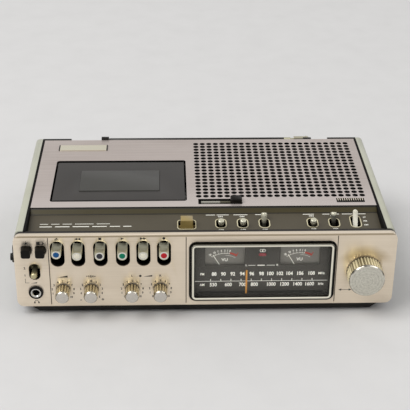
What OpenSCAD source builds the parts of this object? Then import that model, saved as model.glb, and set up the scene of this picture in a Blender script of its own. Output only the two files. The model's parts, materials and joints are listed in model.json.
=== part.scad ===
// Lying stereo radio cassette recorder: front control panel, tuning dial with two level meters,
// top-loading cassette deck, perforated speaker plate and a telescopic aerial on the back.
// Inside each module, x = 0 is the middle of the body, y = 0 the panel's front face, z = 0 the table.

/* [Body] */
// Width of the front panel
panel_w = 366; // [352:1:400]
// Height of the front panel
panel_h = 78.6; // [77:0.2:88]
// Height of the front panel's lower edge above the table
base_h = 10; // [8:0.5:16]
// Thickness of a side panel
side_t = 8; // [5:0.1:9]
// Distance by which the front panel stands out past a side panel
side_inset = 0.7; // [0.5:0.1:4]
// Width of the dark rim between the top plate and a side panel
rim_w = 2.7; // [2:0.1:4]
// Radius of the side panels' upper edge
side_r = 5; // [2:0.2:6]
// Thickness of the moulded plastic walls
wall = 2.5; // [2:0.1:3.5]
// Thickness of the rear panel
rear_t = 4; // [3.6:0.1:5]
// Height of the rubber feet
foot_h = 2.2; // [1.5:0.1:4]
// Radius of the rubber feet
foot_r = 9; // [6:0.5:12]
// Distance of the feet from the front and back of the pan
foot_inset = 20; // [14:1:30]
// Inset of the base pan under each panel end, at its top
pan_inset_top = 10; // [8:0.5:14]
// Inset of the base pan under each panel end, at its bottom
pan_inset_bottom = 20.5; // [16:0.5:28]
// Distance of the base pan behind the panel's front face
pan_front = 4; // [3:0.5:6]
// Distance of the base pan in front of the rear face
pan_rear = 6.5; // [5:0.5:10]
// Fit between pieces of the body that stay put
fit = 0.15; // [0.1:0.05:0.25]

/* [Front panel] */
// Thickness of the metal sheet
panel_t = 1.6; // [1.2:0.1:2]
// Depth of the panel's folded rim
panel_d = 8; // [7:0.5:10]
// Radius of the panel's corners
panel_r = 7; // [5:0.5:9]
// Thickness of the frame's web behind the panel
web_t = 2.4; // [2:0.1:3]
// Depth of the black frame that shows behind the panel
frame_d = 3; // [2:0.5:4]
// Width and depth of the engraved dividing lines
groove = 0.8; // [0.4:0.1:1]
// Distance of the first dividing line from the left end
groove_left = 33; // [32:0.5:34]
// Distance of the last dividing line from the right end
groove_right = 57; // [54:0.5:57.5]

/* [Buttons and jacks] */
// Width of a push button
button_w = 8.8; // [8.4:0.2:10]
// Corner radius of a push button
button_r = 2; // [1.2:0.1:2.6]
// Length of a push button in front of the panel
button_reach = 8; // [5:0.5:10]
// Distance of the first button from the left end
button_first = 12.3; // [12:0.1:13.3]
// Distance between the two buttons
button_pitch = 13.4; // [12.8:0.1:13.6]
// Distance of the buttons below the panel's top
button_drop = 15.2; // [13:0.2:17]
// Running gap round a button
button_gap = 0.5; // [0.3:0.05:0.6]
// Distance of the level switch and headphone jack from the left end
switch_x = 18.7; // [16:0.1:20]
// Height of the level switch above the panel's lower edge
level_z = 39.3; // [38:0.1:41]
// Width of the level switch slot
level_slot_w = 10.8; // [9:0.2:12]
// Length of the level switch slot
level_slot_h = 18; // [16:0.5:20]
// Radius of the level switch's lever at its tip
lever_r = 3; // [2.4:0.1:3.4]
// Length of the level switch's lever in front of the frame's web
lever_len = 8; // [6:0.5:9]
// Height of the headphone jack above the panel's lower edge
jack_z = 16.3; // [14:0.1:18]
// Radius of the headphone jack's ring nut
jack_nut_r = 7; // [6.4:0.1:7.5]
// Radius of the headphone jack's threaded neck
jack_neck_r = 5.1; // [4.8:0.1:5.6]
// Radius of the headphone plug's bore
jack_bore_r = 3.25; // [3.2:0.05:3.4]
// Depth of the headphone plug's bore
jack_bore_d = 28; // [24:1:32]
// Radius of a microphone jack's ring nut
mic_nut_r = 5.5; // [5:0.1:6.5]
// Length of a microphone jack's ring nut
mic_nut_t = 4.8; // [4:0.1:7]
// Radius of a microphone jack's threaded neck
mic_neck_r = 3.6; // [3:0.1:4.2]
// Radius of the microphone plug's bore
mic_bore_r = 1.8; // [1.75:0.05:1.9]
// Depth of the microphone plug's bore
mic_bore_d = 15; // [13:0.5:18]
// Distance by which the microphone jacks stand out of the side panel
mic_reach = 6.8; // [6:0.1:9]
// Distance of the first microphone jack behind the panel
mic_first = 20; // [18:0.5:24]
// Distance between the two microphone jacks
mic_pitch = 16; // [14:0.5:20]
// Height of the microphone jacks above the panel's lower edge
mic_z = 44.5; // [40:0.5:48]

/* [Keys] */
// Distance of the first key from the panel's left end
key_first = 41.4; // [41:0.1:43]
// Distance between neighbouring keys
key_pitch = 19.6; // [18.8:0.1:20]
// Extra space on each side of the stop key
stop_gap = 1.7; // [1:0.1:2]
// Distance of the key slots' middle below the panel's top
slot_drop = 19.7; // [19:0.1:21]
// Width of a key slot
slot_w = 13.4; // [12.4:0.1:14]
// Height of a key slot
slot_h = 28; // [26:0.5:30]
// Width of a key
key_w = 9.2; // [8.4:0.1:9.6]
// Length of a key in front of the panel
key_reach = 14; // [10:0.5:16]
// Length by which the eject key is shorter
eject_short = 3; // [0:0.5:4]
// Distance of the key tips' middle below the panel's top
key_drop = 14.1; // [13.6:0.1:15]
// Distance of the key shaft behind the panel's front face
key_shaft_y = 26; // [24:0.5:28]
// Radius of the key shaft
key_shaft_r = 2; // [1.6:0.1:2.4]
// Radius of the coloured disc's seat in a key tip
disc_r = 2.9; // [2.6:0.1:3.6]
// Depth of the groove along a key's top
key_groove = 0.6; // [0.3:0.1:0.8]

/* [Knobs] */
// Distance of the first small knob from the panel's left end
knob_first = 45; // [44:0.5:47]
// Distance between the knobs of a pair
knob_pitch = 27.3; // [26:0.1:28]
// Distance between the two pairs of knobs
knob_pair_gap = 39.4; // [38:0.1:40]
// Height of the small knobs above the panel's lower edge
knob_z = 18.7; // [17:0.1:20]
// Radius of a small knob
knob_r = 6.7; // [5.5:0.1:7.2]
// Length of a small knob in front of the panel
knob_reach = 15; // [11:0.5:16.5]
// Number of flutes round a small knob
knob_flutes = 14; // [10:1:18]
// Radius of a potentiometer's spindle
spindle_r = 3; // [2.5:0.1:3.2]
// Running clearance of turning shafts
run = 0.06; // [0.03:0.01:0.09]
// Distance of the tuning knob from the panel's right end
tuning_right = 29.3; // [28:0.1:31]
// Height of the tuning knob above the panel's lower edge
tuning_z = 35.9; // [34:0.1:38]
// Radius of the tuning knob
tuning_r = 17.4; // [15:0.1:19]
// Length of the tuning knob in front of the panel
tuning_reach = 17; // [16.5:0.5:20]
// Number of flutes round the tuning knob
tuning_flutes = 36; // [24:2:48]

/* [Dial] */
// Distance of the dial window from the panel's left end
dial_left = 166.7; // [166:0.1:168]
// Width of the dial window
dial_w = 141.6; // [140:0.2:142]
// Height of the dial window
dial_h = 66.8; // [64:0.2:69]
// Height of the dial window's middle above the panel's middle
dial_rise = -1.7; // [-2:0.1:0]
// Corner radius of the dial window
dial_r = 7; // [5:0.5:8]
// Dark gap round the dial frame
dial_gap = 2.2; // [1.6:0.1:2.6]
// Width of the dial frame's bar
dial_bar = 2.6; // [2:0.1:3]
// Distance by which the dial frame stands in front of the panel
dial_reach = 2.5; // [1:0.1:3.5]
// Thickness of the dial window pane
glass_t = 1.4; // [1:0.1:1.5]
// Depth of the scale plate behind the panel's front face
scale_y = 9.5; // [9:0.1:11]
// Thickness of the scale plate
scale_t = 1.2; // [1:0.1:1.6]
// Width of a level meter's face
meter_w = 38.2; // [36:0.1:39]
// Distance of the first meter's middle from the dial window's left edge
meter_first = 34.9; // [33:0.1:36]
// Distance between the meters
meter_pitch = 73; // [71:0.1:74]
// Height of the meter faces' lower edge above the panel's lower edge
meter_z = 39; // [38:0.1:40]
// Height of a level meter's face
meter_h = 24.6; // [22:0.1:25.4]
// Height of the needles' pivots above the panel's lower edge
needle_z = 29.7; // [29:0.1:31]
// Length of a needle from its pivot
needle_len = 22.8; // [20:0.1:24]
// Lean of the needles to the left at rest
needle_lean = 30; // [20:1:36]
// Place of the pointer from the dial window's left edge
pointer_x = 56.3; // [40:0.1:80]
// Length of the pointer
pointer_len = 27; // [24:0.5:30]
// Radius of the drum that turns the tuning capacitor
drum_r = 29; // [26:0.5:29.5]
// Distance of the drum's shaft left of the tuning knob
drum_left = 48; // [44:0.5:50]

/* [Top] */
// Distance of the top plate's front edge behind the panel's front face
plate_front = 56.6; // [56:0.2:58]
// Thickness of the top plate
plate_t = 0.8; // [0.6:0.1:1.2]
// Thickness of the deck under the top plate
deck_t = 3.2; // [3:0.1:3.6]
// Drop of the control strip below the top at its front
strip_front_drop = 9.2; // [8:0.1:10]
// Drop of the control strip below the top at its back
strip_back_drop = 5.5; // [4.5:0.1:6.5]
// Depth of the sloping band at the back of the control strip
band_d = 5.6; // [4:0.1:7]
// Thickness of the control strip
strip_t = 2.5; // [2:0.1:3]
// Distance between neighbouring speaker holes
hole_pitch = 7.2; // [6.6:0.1:8]
// Radius of a speaker hole
hole_r = 2.9; // [2:0.1:3]
// Depth of the recess under the speaker holes
recess_d = 2; // [1:0.1:2.4]
// Width of the perforated field, from the first to the last hole
field_w = 165.6; // [150:0.2:166]
// Depth of the perforated field, from the first to the last hole
field_d = 122.4; // [110:0.2:124]
// Distance of the first row of holes behind the monitor slot
field_front = 5.65; // [5:0.05:8]
// Distance of the last hole from the top plate's right edge
field_right = 11; // [9:0.5:14]
// Distance of the last hole from the top plate's back edge
field_back = 11.4; // [10:0.2:14]

/* [Cassette lid] */
// Distance of the lid opening from the top plate's left edge
lid_left = 17.6; // [14:0.2:20]
// Distance of the lid opening from the top plate's front edge
lid_front = 12; // [11:0.2:14]
// Width of the lid opening
opening_w = 137; // [134:0.5:140]
// Depth of the lid opening
opening_d = 91.8; // [90:0.2:95]
// Corner radius of the lid opening
opening_r = 3; // [2:0.5:4]
// Gap beside the lid
lid_gap = 2; // [1.4:0.1:2.4]
// Gap in front of the lid
lid_front_gap = 3.4; // [2.6:0.1:4]
// Drop of the lid below the top plate's face
lid_sink = 0.4; // [0.2:0.1:2]
// Thickness of the lid
lid_t = 3; // [2.6:0.1:3.4]
// Depth of the lid's skirt
lid_skirt = 7; // [6.5:0.1:8]
// Radius of the lid's hinge barrel
barrel_r = 3; // [2.8:0.1:3.4]
// Radius of the lid's hinge pins
pin_r = 1.4; // [1.2:0.1:1.6]
// Width of the lid window
window_w = 81.6; // [76:0.2:86]
// Depth of the lid window
window_d = 44.7; // [40:0.1:48]
// Distance of the lid window behind the lid's front edge
window_front = 19; // [17:0.2:22]
// Distance by which the lid window stands above the lid
window_rise = 1; // [0.5:0.1:1.4]

/* [Cassette deck] */
// Depth of the cassette well below the top plate's face
well_d = 20.6; // [20:0.1:22]
// Thickness of the well's walls
well_t = 2.2; // [2:0.1:3]
// Thickness of the deck plate
deck_plate_t = 2; // [1.6:0.1:2.4]
// Distance of the cassette's tape edge behind the lid opening's front
tape_edge = 17.4; // [17:0.2:19]
// Distance of the hubs from the cassette's tape edge
hub_back = 34; // [33:0.2:35]
// Distance between the two hubs
hub_pitch = 42.5; // [42:0.1:43]
// Radius of the reel spindles
reel_r = 3; // [2.6:0.1:3.2]
// Radius of the capstan
capstan_r = 1.25; // [1:0.05:1.5]
// Distance of the capstan from the cassette's middle
capstan_x = 33; // [30:0.5:35]
// Radius of the flywheel
flywheel_r = 23; // [20:0.5:25]
// Radius of the pinch roller
pinch_r = 6; // [5:0.1:6.4]
// Travel of the head plate
head_travel = 4.5; // [3:0.1:5]
// Reach of the head plate left of the cassette's middle
head_left = 42; // [40:0.5:46]
// Reach of the head plate right of the pinch roller
head_right = 10; // [8.5:0.5:12]
// Reach of the head plate in front of the pinch roller
head_front = 11; // [10:0.5:12]
// Reach of the head plate behind the pinch roller's pin
head_back = 4; // [3:0.1:4.6]
// Depth of the flywheel's underside below the deck
flywheel_drop = 34; // [33:0.5:36]
// Radius of the motor
motor_r = 15; // [13:0.5:16]
// Distance of the motor left of the cassette's middle
motor_left = 51; // [50:0.5:54]

/* [Switches] */
// Distance of the switch row behind the panel's front face
toggle_y = 34.5; // [33:0.1:38]
// Depth of the switch pivots below the top
toggle_drop = 18; // [17:0.1:19]
// Length of a switch lever from its pivot
toggle_len = 17; // [16:0.1:19]
// Lean of a switch lever
toggle_lean = 21; // [16:0.5:27.5]
// Width of a switch slot
toggle_slot_w = 9.4; // [9:0.1:10.6]
// Length of a switch slot
toggle_slot_d = 14.6; // [14.4:0.1:18]
// Length of the band switch's slot
band_slot_d = 19; // [18:0.1:22]
// Distance of the first switch from the strip's right end
toggle_first = 156; // [154:0.5:158]
// Distance between neighbouring switches
toggle_pitch = 21.3; // [20:0.1:22]
// Distance between the two groups of switches
toggle_group_gap = 47.3; // [46:0.1:48]
// Distance of the pause key from the first switch
pause_left = 33.4; // [32:0.1:37]
// Width of the pause key
pause_w = 12; // [10:0.2:13]
// Depth of the pause key
pause_d = 10.5; // [9:0.1:11]
// Distance of the pause key behind the panel's front face
pause_y = 26.2; // [25:0.1:28]
// Travel of the pause key
pause_travel = 3; // [2:0.1:5]
// Distance of the monitor slot from the top plate's right edge
monitor_right = 177.4; // [174:0.2:180]
// Length of the monitor slot
monitor_w = 43.9; // [40:0.1:46]
// Depth of the monitor slot
monitor_d = 11.2; // [10:0.1:11.6]
// Distance of the monitor slot from the top plate's front edge
monitor_front = 4.6; // [4:0.1:5]
// Length of the monitor slider's knob
slider_w = 11.4; // [9:0.1:13]
// Height of the monitor slider's knob above the top plate
slider_rise = 4.7; // [3:0.1:6]

/* [Rear] */
// Width of the battery bay
bay_w = 188; // [176:1:190]
// Height of the battery bay
bay_h = 40; // [36:0.5:42]
// Depth of the battery bay
bay_d = 64; // [58:0.5:66]
// Distance of the battery bay from the body's left inner face
bay_left = 22; // [18:0.5:26]
// Gap round the battery cover
cover_gap = 0.4; // [0.3:0.05:0.6]
// Distance of the mains inlet left of the aerial's pivot
inlet_left = 27; // [26:0.5:32]
// Width of the mains inlet
inlet_w = 20; // [18:0.5:22]
// Height of the mains inlet
inlet_h = 12; // [10:0.5:14]
// Distance of the line socket right of the aerial's pivot
line_right = 18; // [16:0.5:24]
// Radius of the line socket
line_r = 7.6; // [6:0.1:8]
// Depth of the mains inlet and the line socket
socket_d = 10; // [8:0.5:12]
// Height of both sockets above the battery bay's floor
socket_rise = 17; // [15:0.5:20]
// Distance of the aerial's pivot from the body's right side
aerial_right = 62.5; // [58:0.5:70]
// Drop of the aerial's axis below the top
aerial_drop = 4.3; // [4:0.1:5]
// Radius of the aerial's lower tube
aerial_r = 2.8; // [2.4:0.1:3]
// Distance of the aerial's axis behind the rear face
aerial_out = 3.5; // [3.4:0.1:4]
// Length of the aerial's lower tube
aerial_len = 203; // [190:1:215]
// Distance of the rear panel's top notch from the body's inner faces
notch_in = 31.6; // [24:0.1:36]
// Height of the aerial's clip above the top
clip_rise = 2.3; // [0.5:0.1:3]

/* [Hidden] */
$fn = 48;

// Small amount by which a cut runs past a face
over = 1;
top_z = base_h + panel_h;
body_half = panel_w / 2 - side_inset;
inner_half = body_half - side_t;
plate_half = inner_half - rim_w;
left_x = -panel_w / 2;
floor_z = base_h + wall;
frame_back = panel_d + frame_d;
web_back = panel_t + web_t;
case_d = plate_front + monitor_front + monitor_d + field_front + field_d + field_back + fit + rear_t;
rear_y = case_d - rear_t;
plate_back = rear_y - fit;
aerial_y = case_d + aerial_out;
aerial_z = top_z - aerial_drop;
fork_half = aerial_r + 0.1;
front_y = (tuning_reach - aerial_y - fork_half) / 2;
shift_x = (mic_reach - side_inset) / 2;
slab_z = top_z - plate_t - deck_t;
pan_top_half = panel_w / 2 - pan_inset_top;
pan_bottom_half = panel_w / 2 - pan_inset_bottom;
pan_back = case_d - pan_rear;
switch_left = left_x + switch_x;
button_z = top_z - button_drop;
key_z = top_z - key_drop;
key_shaft_z = key_z - 2.5;
slot_z = top_z - slot_drop;
key_ear_gap = slot_w / 2 + 0.1;
key_ear_t = 1.6;
neck_t = 1.6;
button_flange = button_w + 2;
tuning_x = panel_w / 2 - tuning_right;
dial_x = left_x + dial_left + dial_w / 2;
dial_z = base_h + panel_h / 2 + dial_rise;
frame_w = dial_w - 2 * dial_gap;
frame_h = dial_h - 2 * dial_gap;
pane_w = frame_w - 2 * dial_bar - 2 * fit;
pane_h = frame_h - 2 * dial_bar - 2 * fit;
pane_ledge = 0.8;
housing_w = dial_w;
housing_h = dial_h - 1.4;
housing_t = 1.6;
scale_low = dial_z - housing_h / 2 + 4.6;
rail_y = scale_y + scale_t + 3.4;
rail_z = dial_z - housing_h / 2 + 2.8;
rail_r = 1.2;
meter_back = 26;
meter_t = 1.6;
needle_y = scale_y + scale_t + 0.4;
needle_t = 0.5;
drum_x = tuning_x - drum_left;
drum_z = base_h + tuning_z;
drum_y = meter_back + 0.6;
drum_t = 3.4;
open_x = -plate_half + lid_left;
open_y = plate_front + lid_front;
open_mid = open_x + opening_w / 2;
lid_w = opening_w - 2 * lid_gap;
lid_y = open_y + lid_front_gap;
lid_back_gap = 1.6;
skirt_t = 2;
hinge_y = open_y + opening_d - lid_back_gap - barrel_r;
lid_z = top_z - lid_sink;
hinge_z = lid_z - barrel_r;
deck_z = top_z - well_d;
tape_y = open_y + tape_edge;
hub_y = tape_y + hub_back;
head_z = deck_z + 0.3;
head_plate_t = 1.5;
pinch_x = open_mid + capstan_x;
pinch_y = tape_y - 3.4;
guide_x = [-34, 20];
guide_y = pinch_y - 3.2;
guide_r = 1.5;
capstan_y = pinch_y + head_travel + pinch_r + capstan_r + 0.3;
flywheel_z = deck_z - flywheel_drop;
flywheel_t = 8;
motor_x = open_mid - motor_left;
motor_y = capstan_y + 16;
pulley_r = 5;
belt_groove = 1.4;
belt_t = 1;
strip_back = plate_front - band_d;
toggle_z = top_z - toggle_drop;
strip_right = plate_half - fit;
toggle_x = [strip_right - toggle_first, strip_right - toggle_first + toggle_pitch,
    strip_right - toggle_first + 2 * toggle_pitch,
    strip_right - toggle_first + 2 * toggle_pitch + toggle_group_gap,
    strip_right - toggle_first + 3 * toggle_pitch + toggle_group_gap,
    strip_right - toggle_first + 4 * toggle_pitch + toggle_group_gap];
pause_x = toggle_x[0] - pause_left;
pause_slack = 0.5;
pause_slot_d = pause_d + pause_travel + 2 * pause_slack;
pause_side = 2.4;
ear_t = 3;
trunnion_r = 1.4;
barrel_half = 3.5;
bat_r = 2.3;
monitor_x = plate_half - monitor_right;
monitor_y = plate_front + monitor_front;
tray_d = 2.2;
tray_t = 2;
field_x = plate_half - field_right;
field_y = plate_back - field_back;
columns = floor(field_w / hole_pitch + 0.01);
rows = floor(field_d / hole_pitch + 0.01);
speaker_x = field_x - field_w / 2;
speaker_y = field_y - field_d / 2;
speaker_r = min(field_w, field_d) / 2 - 5;
recess_rim = 0.3;
bay_x = -inner_half + bay_left;
bay_z = floor_z + 4;
bay_t = 2;
magnet_r = 34;
magnet_t = 10;
magnet_gap = 1;
speaker_d = slab_z - bay_z - bay_h - bay_t - magnet_gap;
board_z = foot_h + wall + 8;
board_t = 1.6;
board_x = 30;
board_w = 120;
board_d = 100;
board_gap = 6;
board_y = rear_y - bay_d - bay_t - board_gap - board_d;
cover_z = bay_z + cover_gap + rear_t / 2;
cover_pin_r = 1;
socket_z = bay_z + socket_rise;
aerial_x = body_half - aerial_right;
notch_half = inner_half - notch_in;
aerial_pin_r = 2.5;
aerial_hub_r = 3.4;
fork_len = 14;
tilt_x = aerial_x - 11;
tilt_pin_r = 1.2;
tube_end = aerial_x - 18;
clip_w = 8;
clip_x = tube_end - aerial_len - clip_w;
tab_half = 4.4;
tab_rise = 0.3;
inlet_x = aerial_x - inlet_left;
line_x = aerial_x + line_right;
socket_t = 3;

// Height of the control strip's flat part at a distance behind the panel
function strip_at(y) = top_z - strip_front_drop
    + (strip_front_drop - strip_back_drop) * (y - frame_back - fit) / (strip_back - frame_back - fit);

function key_x(i) = left_x + key_first + i * key_pitch + (i > 1 ? stop_gap : 0) + (i > 2 ? stop_gap : 0);
function knob_x(i) = left_x + knob_first + (i % 2) * knob_pitch
    + floor(i / 2) * (knob_pitch + knob_pair_gap);

// Puts a piece that is measured from the panel's front face into the part's own frame,
// which has its origin in the middle of the footprint
module from_front() translate([shift_x, front_y, 0]) children();

// Extrudes a front-view outline backwards from y0
module along_y(y0, length)
    translate([0, y0 + length, 0]) rotate([90, 0, 0]) linear_extrude(length) children();

// Extrudes a side-view outline to the right from x0
module along_x(x0, length)
    translate([x0, 0, 0]) rotate([90, 0, 90]) linear_extrude(length) children();

// Extrudes a plan upwards from z0
module along_z(z0, length) translate([0, 0, z0]) linear_extrude(length) children();

// Round bar to the right, to the back or upwards from a point
module bar_x(at, r, length) translate(at) rotate([0, 90, 0]) cylinder(h = length, r = r);
module bar_y(at, r, length) translate(at) rotate([-90, 0, 0]) cylinder(h = length, r = r);
module bar_z(at, r, length) translate(at) cylinder(h = length, r = r);

module rounded_rect(w, h, r) {
    square([w - 2 * r, h], center = true);
    square([w, h - 2 * r], center = true);
    for (sx = [-1, 1])
        for (sy = [-1, 1])
            translate([sx * (w / 2 - r), sy * (h / 2 - r)]) circle(r);
}

module obround(w, h) {
    square([w, h - w], center = true);
    for (s = [-1, 1]) translate([0, s * (h - w) / 2]) circle(w / 2);
}

module panel_outline(inset) translate([0, base_h + panel_h / 2])
    rounded_rect(panel_w - 2 * inset, panel_h - 2 * inset, panel_r - min(inset, panel_r - 1));

// Openings that the panel and the web of the frame behind it share
module panel_openings() {
    for (i = [0:5]) translate([key_x(i), slot_z]) obround(slot_w, slot_h);
    for (i = [0:1])
        translate([left_x + button_first + i * button_pitch, button_z])
            rounded_rect(button_w + 2 * button_gap, button_w + 2 * button_gap, button_r + button_gap);
    translate([switch_left, base_h + level_z]) obround(level_slot_w, level_slot_h);
    translate([switch_left, base_h + jack_z]) circle(jack_neck_r + fit);
    for (i = [0:3]) translate([knob_x(i), base_h + knob_z]) circle(spindle_r + neck_t + fit);
}

// Pan under the body with a flange that carries the side and rear panels, and posts for the board
module bottom_case() from_front() color([0.08, 0.08, 0.08]) {
    difference() {
        union() {
            along_y(pan_front, pan_back - pan_front)
                polygon([[-pan_top_half, base_h], [-pan_bottom_half, foot_h],
                    [pan_bottom_half, foot_h], [pan_top_half, base_h]]);
            translate([-body_half, frame_back + fit, base_h])
                cube([2 * body_half, case_d - frame_back - fit, wall]);
        }
        along_y(pan_front + wall, pan_back - pan_front - 2 * wall)
            polygon([[-pan_top_half + wall, base_h], [-pan_bottom_half + wall, foot_h + wall],
                [pan_bottom_half - wall, foot_h + wall], [pan_top_half - wall, base_h]]);
        translate([-pan_top_half + wall, pan_front + wall, base_h - 0.01])
            cube([2 * (pan_top_half - wall), pan_back - pan_front - 2 * wall, wall + over]);
    }
    for (x = [board_x + 6, board_x + board_w - 6])
        for (y = [board_y + 6, board_y + board_d - 6])
            bar_z([x, y, foot_h + wall - 0.5], 3.5, board_z - foot_h - wall + 0.5);
}

module feet() from_front() color([0.15, 0.15, 0.15])
    for (x = [-1, 1])
        for (y = [pan_front + foot_inset, pan_back - foot_inset])
            translate([x * (pan_bottom_half - foot_inset), y, 0])
                cylinder(h = foot_h, r1 = foot_r - 0.8, r2 = foot_r);

// Rear wall with the battery bay, the mains inlet, a line socket and the aerial's seats
module rear_panel() from_front() color([0.1, 0.1, 0.1]) {
    difference() {
        union() {
            along_y(rear_y, rear_t)
                polygon([[-inner_half + fit, floor_z], [inner_half - fit, floor_z], [inner_half - fit, top_z],
                    [notch_half, top_z], [notch_half, slab_z], [-notch_half, slab_z], [-notch_half, top_z],
                    [-inner_half + fit, top_z]]);
            translate([bay_x - bay_t, rear_y - bay_d - bay_t, bay_z - bay_t])
                cube([bay_w + 2 * bay_t, bay_d + bay_t + 0.1, bay_h + 2 * bay_t]);
            translate([aerial_x - tab_half, rear_y, slab_z - over])
                cube([2 * tab_half, rear_t, top_z + tab_rise - slab_z + over]);
            translate([clip_x, rear_y, slab_z - over])
                cube([clip_w, rear_t, top_z + clip_rise - slab_z + over]);
            translate([clip_x, case_d - 0.1, aerial_z - aerial_r - 4.3])
                cube([clip_w, aerial_out + fork_half, 4]);
            translate([inlet_x - inlet_w / 2 - socket_t, rear_y - socket_d - 2,
                socket_z - inlet_h / 2 - socket_t])
                cube([inlet_w + 2 * socket_t, socket_d + 2.1, inlet_h + 2 * socket_t]);
            bar_y([line_x, rear_y - socket_d, socket_z], line_r + socket_t, socket_d + 0.1);
        }
        translate([bay_x, rear_y - bay_d, bay_z]) cube([bay_w, bay_d + rear_t + over, bay_h]);
        bar_x([bay_x - 2.6, rear_y + rear_t / 2, cover_z], cover_pin_r + run, bay_w + 5.2);
        bar_y([aerial_x, rear_y - over, aerial_z], aerial_pin_r + run, rear_t + 2 * over);
        translate([inlet_x - inlet_w / 2, rear_y - socket_d, socket_z - inlet_h / 2])
            cube([inlet_w, socket_d + rear_t + over, inlet_h]);
        bar_y([line_x, rear_y - socket_d + 2, socket_z], line_r, socket_d + rear_t + over);
    }
    for (s = [-1, 1]) bar_y([inlet_x + s * inlet_w / 5, rear_y - socket_d - 1, socket_z], 1.5, socket_d + 2);
}

// Door of the battery bay, rounded about the pins at its lower edge
module battery_cover() from_front() color([0.12, 0.12, 0.12]) {
    difference() {
        along_x(bay_x + cover_gap, bay_w - 2 * cover_gap) {
            translate([rear_y, cover_z]) square([rear_t, bay_z + bay_h - cover_gap - cover_z]);
            translate([rear_y + rear_t / 2, cover_z]) circle(rear_t / 2);
        }
        bar_y([bay_x + bay_w / 2, case_d - 1.5, bay_z + bay_h], 11, 1.5 + over);
    }
    bar_x([bay_x - 2.2, rear_y + rear_t / 2, cover_z], cover_pin_r, bay_w + 4.4);
}

module side_section() {
    r = min(side_r, side_t - 0.6);
    h = top_z - 0.2 - floor_z;
    translate([inner_half, floor_z]) square([side_t, h - r]);
    translate([inner_half, floor_z]) square([side_t - r, h]);
    translate([body_half - r, floor_z + h - r]) intersection() {
        circle(r);
        square(r);
    }
}

module right_side_panel() from_front() color([0.62, 0.63, 0.57])
    along_y(frame_back + fit, case_d - frame_back - fit) side_section();

// The left panel carries the two microphone jacks
module left_side_panel() from_front() color([0.62, 0.63, 0.57]) difference() {
    along_y(frame_back + fit, case_d - frame_back - fit) mirror([1, 0]) side_section();
    for (i = [0:1])
        bar_x([-body_half - over, mic_first + i * mic_pitch, base_h + mic_z], mic_neck_r + fit,
            side_t + 2 * over);
}

// Black frame that fills the panel's folded rim and carries the front controls
module front_frame() from_front() color([0.07, 0.07, 0.07]) {
    difference() {
        union() {
            along_y(panel_t, panel_d - panel_t + 0.1) panel_outline(panel_t + fit);
            along_y(panel_d, frame_d) panel_outline(0.8);
        }
        along_y(web_back, frame_back) panel_outline(panel_t + wall + fit);
        along_y(0, web_back + over) panel_openings();
        along_y(0, web_back + over)
            translate([dial_x, dial_z]) rounded_rect(pane_w - 2 * pane_ledge, pane_h - 2 * pane_ledge, 2.4);
        bar_y([tuning_x, 0, drum_z], spindle_r + run, web_back + over);
    }
    dial_housing();
    tuning_bearing();
    key_ears();
    switch_ears();
}

// Tunnel between the window and the scale plate
module dial_housing()
    along_y(web_back - 0.1, scale_y - web_back + 0.1) translate([dial_x, dial_z]) difference() {
        square([housing_w, housing_h], center = true);
        square([housing_w - 2 * housing_t, housing_h - 2 * housing_t], center = true);
    }

module tuning_bearing() difference() {
    bar_y([tuning_x, 0.2, drum_z], spindle_r + 3, 12.4);
    bar_y([tuning_x, -over, drum_z], spindle_r + run, 16);
}

module key_ears() difference() {
    for (x = [key_x(0) - key_ear_gap - key_ear_t, key_x(5) + key_ear_gap])
        translate([x, web_back - 0.1, key_shaft_z - 5])
            cube([key_ear_t, key_shaft_y + 5 - web_back, 9]);
    bar_x([left_x, key_shaft_y, key_shaft_z], key_shaft_r + 0.05, panel_w);
}

module switch_ears() difference() {
    for (s = [-1, 1])
        translate([switch_left + s * 6.2 - 1, web_back - 0.1, base_h + level_z - 10])
            cube([2, 10.6, 20]);
    bar_x([switch_left - 9, web_back + 7, base_h + level_z], trunnion_r + run, 18);
}

// Brushed metal panel, a shallow tray with a folded rim and engraved dividing lines
module front_panel() from_front() color([0.80, 0.74, 0.66]) difference() {
    along_y(0, panel_d) panel_outline(0);
    along_y(panel_t, panel_d) panel_outline(panel_t);
    along_y(-over, panel_t + 2 * over) panel_openings();
    along_y(-over, panel_t + 2 * over) translate([dial_x, dial_z]) rounded_rect(dial_w, dial_h, dial_r);
    bar_y([tuning_x, -over, drum_z], spindle_r + 3 + fit, panel_t + 2 * over);
    for (x = [left_x + groove_left, left_x + dial_left - 2.8, panel_w / 2 - groove_right])
        translate([x - groove / 2, -over, base_h + over]) cube([groove, over + groove, panel_h - 3 * over]);
}

// Strip with the pause key and the switch row, sloping down to the front panel
module control_strip() from_front() color([0.22, 0.21, 0.20]) difference() {
    union() {
        along_x(-strip_right, 2 * strip_right)
            polygon([[frame_back + fit, top_z - strip_front_drop - strip_t],
                [frame_back + fit, top_z - strip_front_drop], [strip_back, top_z - strip_back_drop],
                [plate_front - fit, top_z - 1], [plate_front - fit, top_z - 1 - strip_t],
                [strip_back + 1, top_z - strip_back_drop - strip_t]]);
        for (x = toggle_x) toggle_ears(x);
    }
    for (i = [0:4])
        translate([toggle_x[i], toggle_y]) along_z(toggle_z + 4, toggle_drop)
            rounded_rect(toggle_slot_w, toggle_slot_d, 4);
    translate([toggle_x[5], toggle_y + (band_slot_d - toggle_slot_d) / 2 - 0.5])
        along_z(toggle_z + 4, toggle_drop) rounded_rect(toggle_slot_w, band_slot_d, 4);
    translate([pause_x, pause_y - pause_slack + pause_slot_d / 2]) along_z(toggle_z + 4, toggle_drop)
        rounded_rect(pause_w + 2 * pause_side, pause_slot_d, 2.5);
}

module toggle_ears(x) difference() {
    for (s = [-1, 1])
        translate([x + s * (barrel_half + 0.4 + ear_t / 2) - ear_t / 2, toggle_y - 4, toggle_z - 3])
            cube([ear_t, 8, strip_at(toggle_y) - strip_t / 2 - toggle_z + 3]);
    bar_x([x - 8, toggle_y, toggle_z], trunnion_r + run, 16);
}

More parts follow.
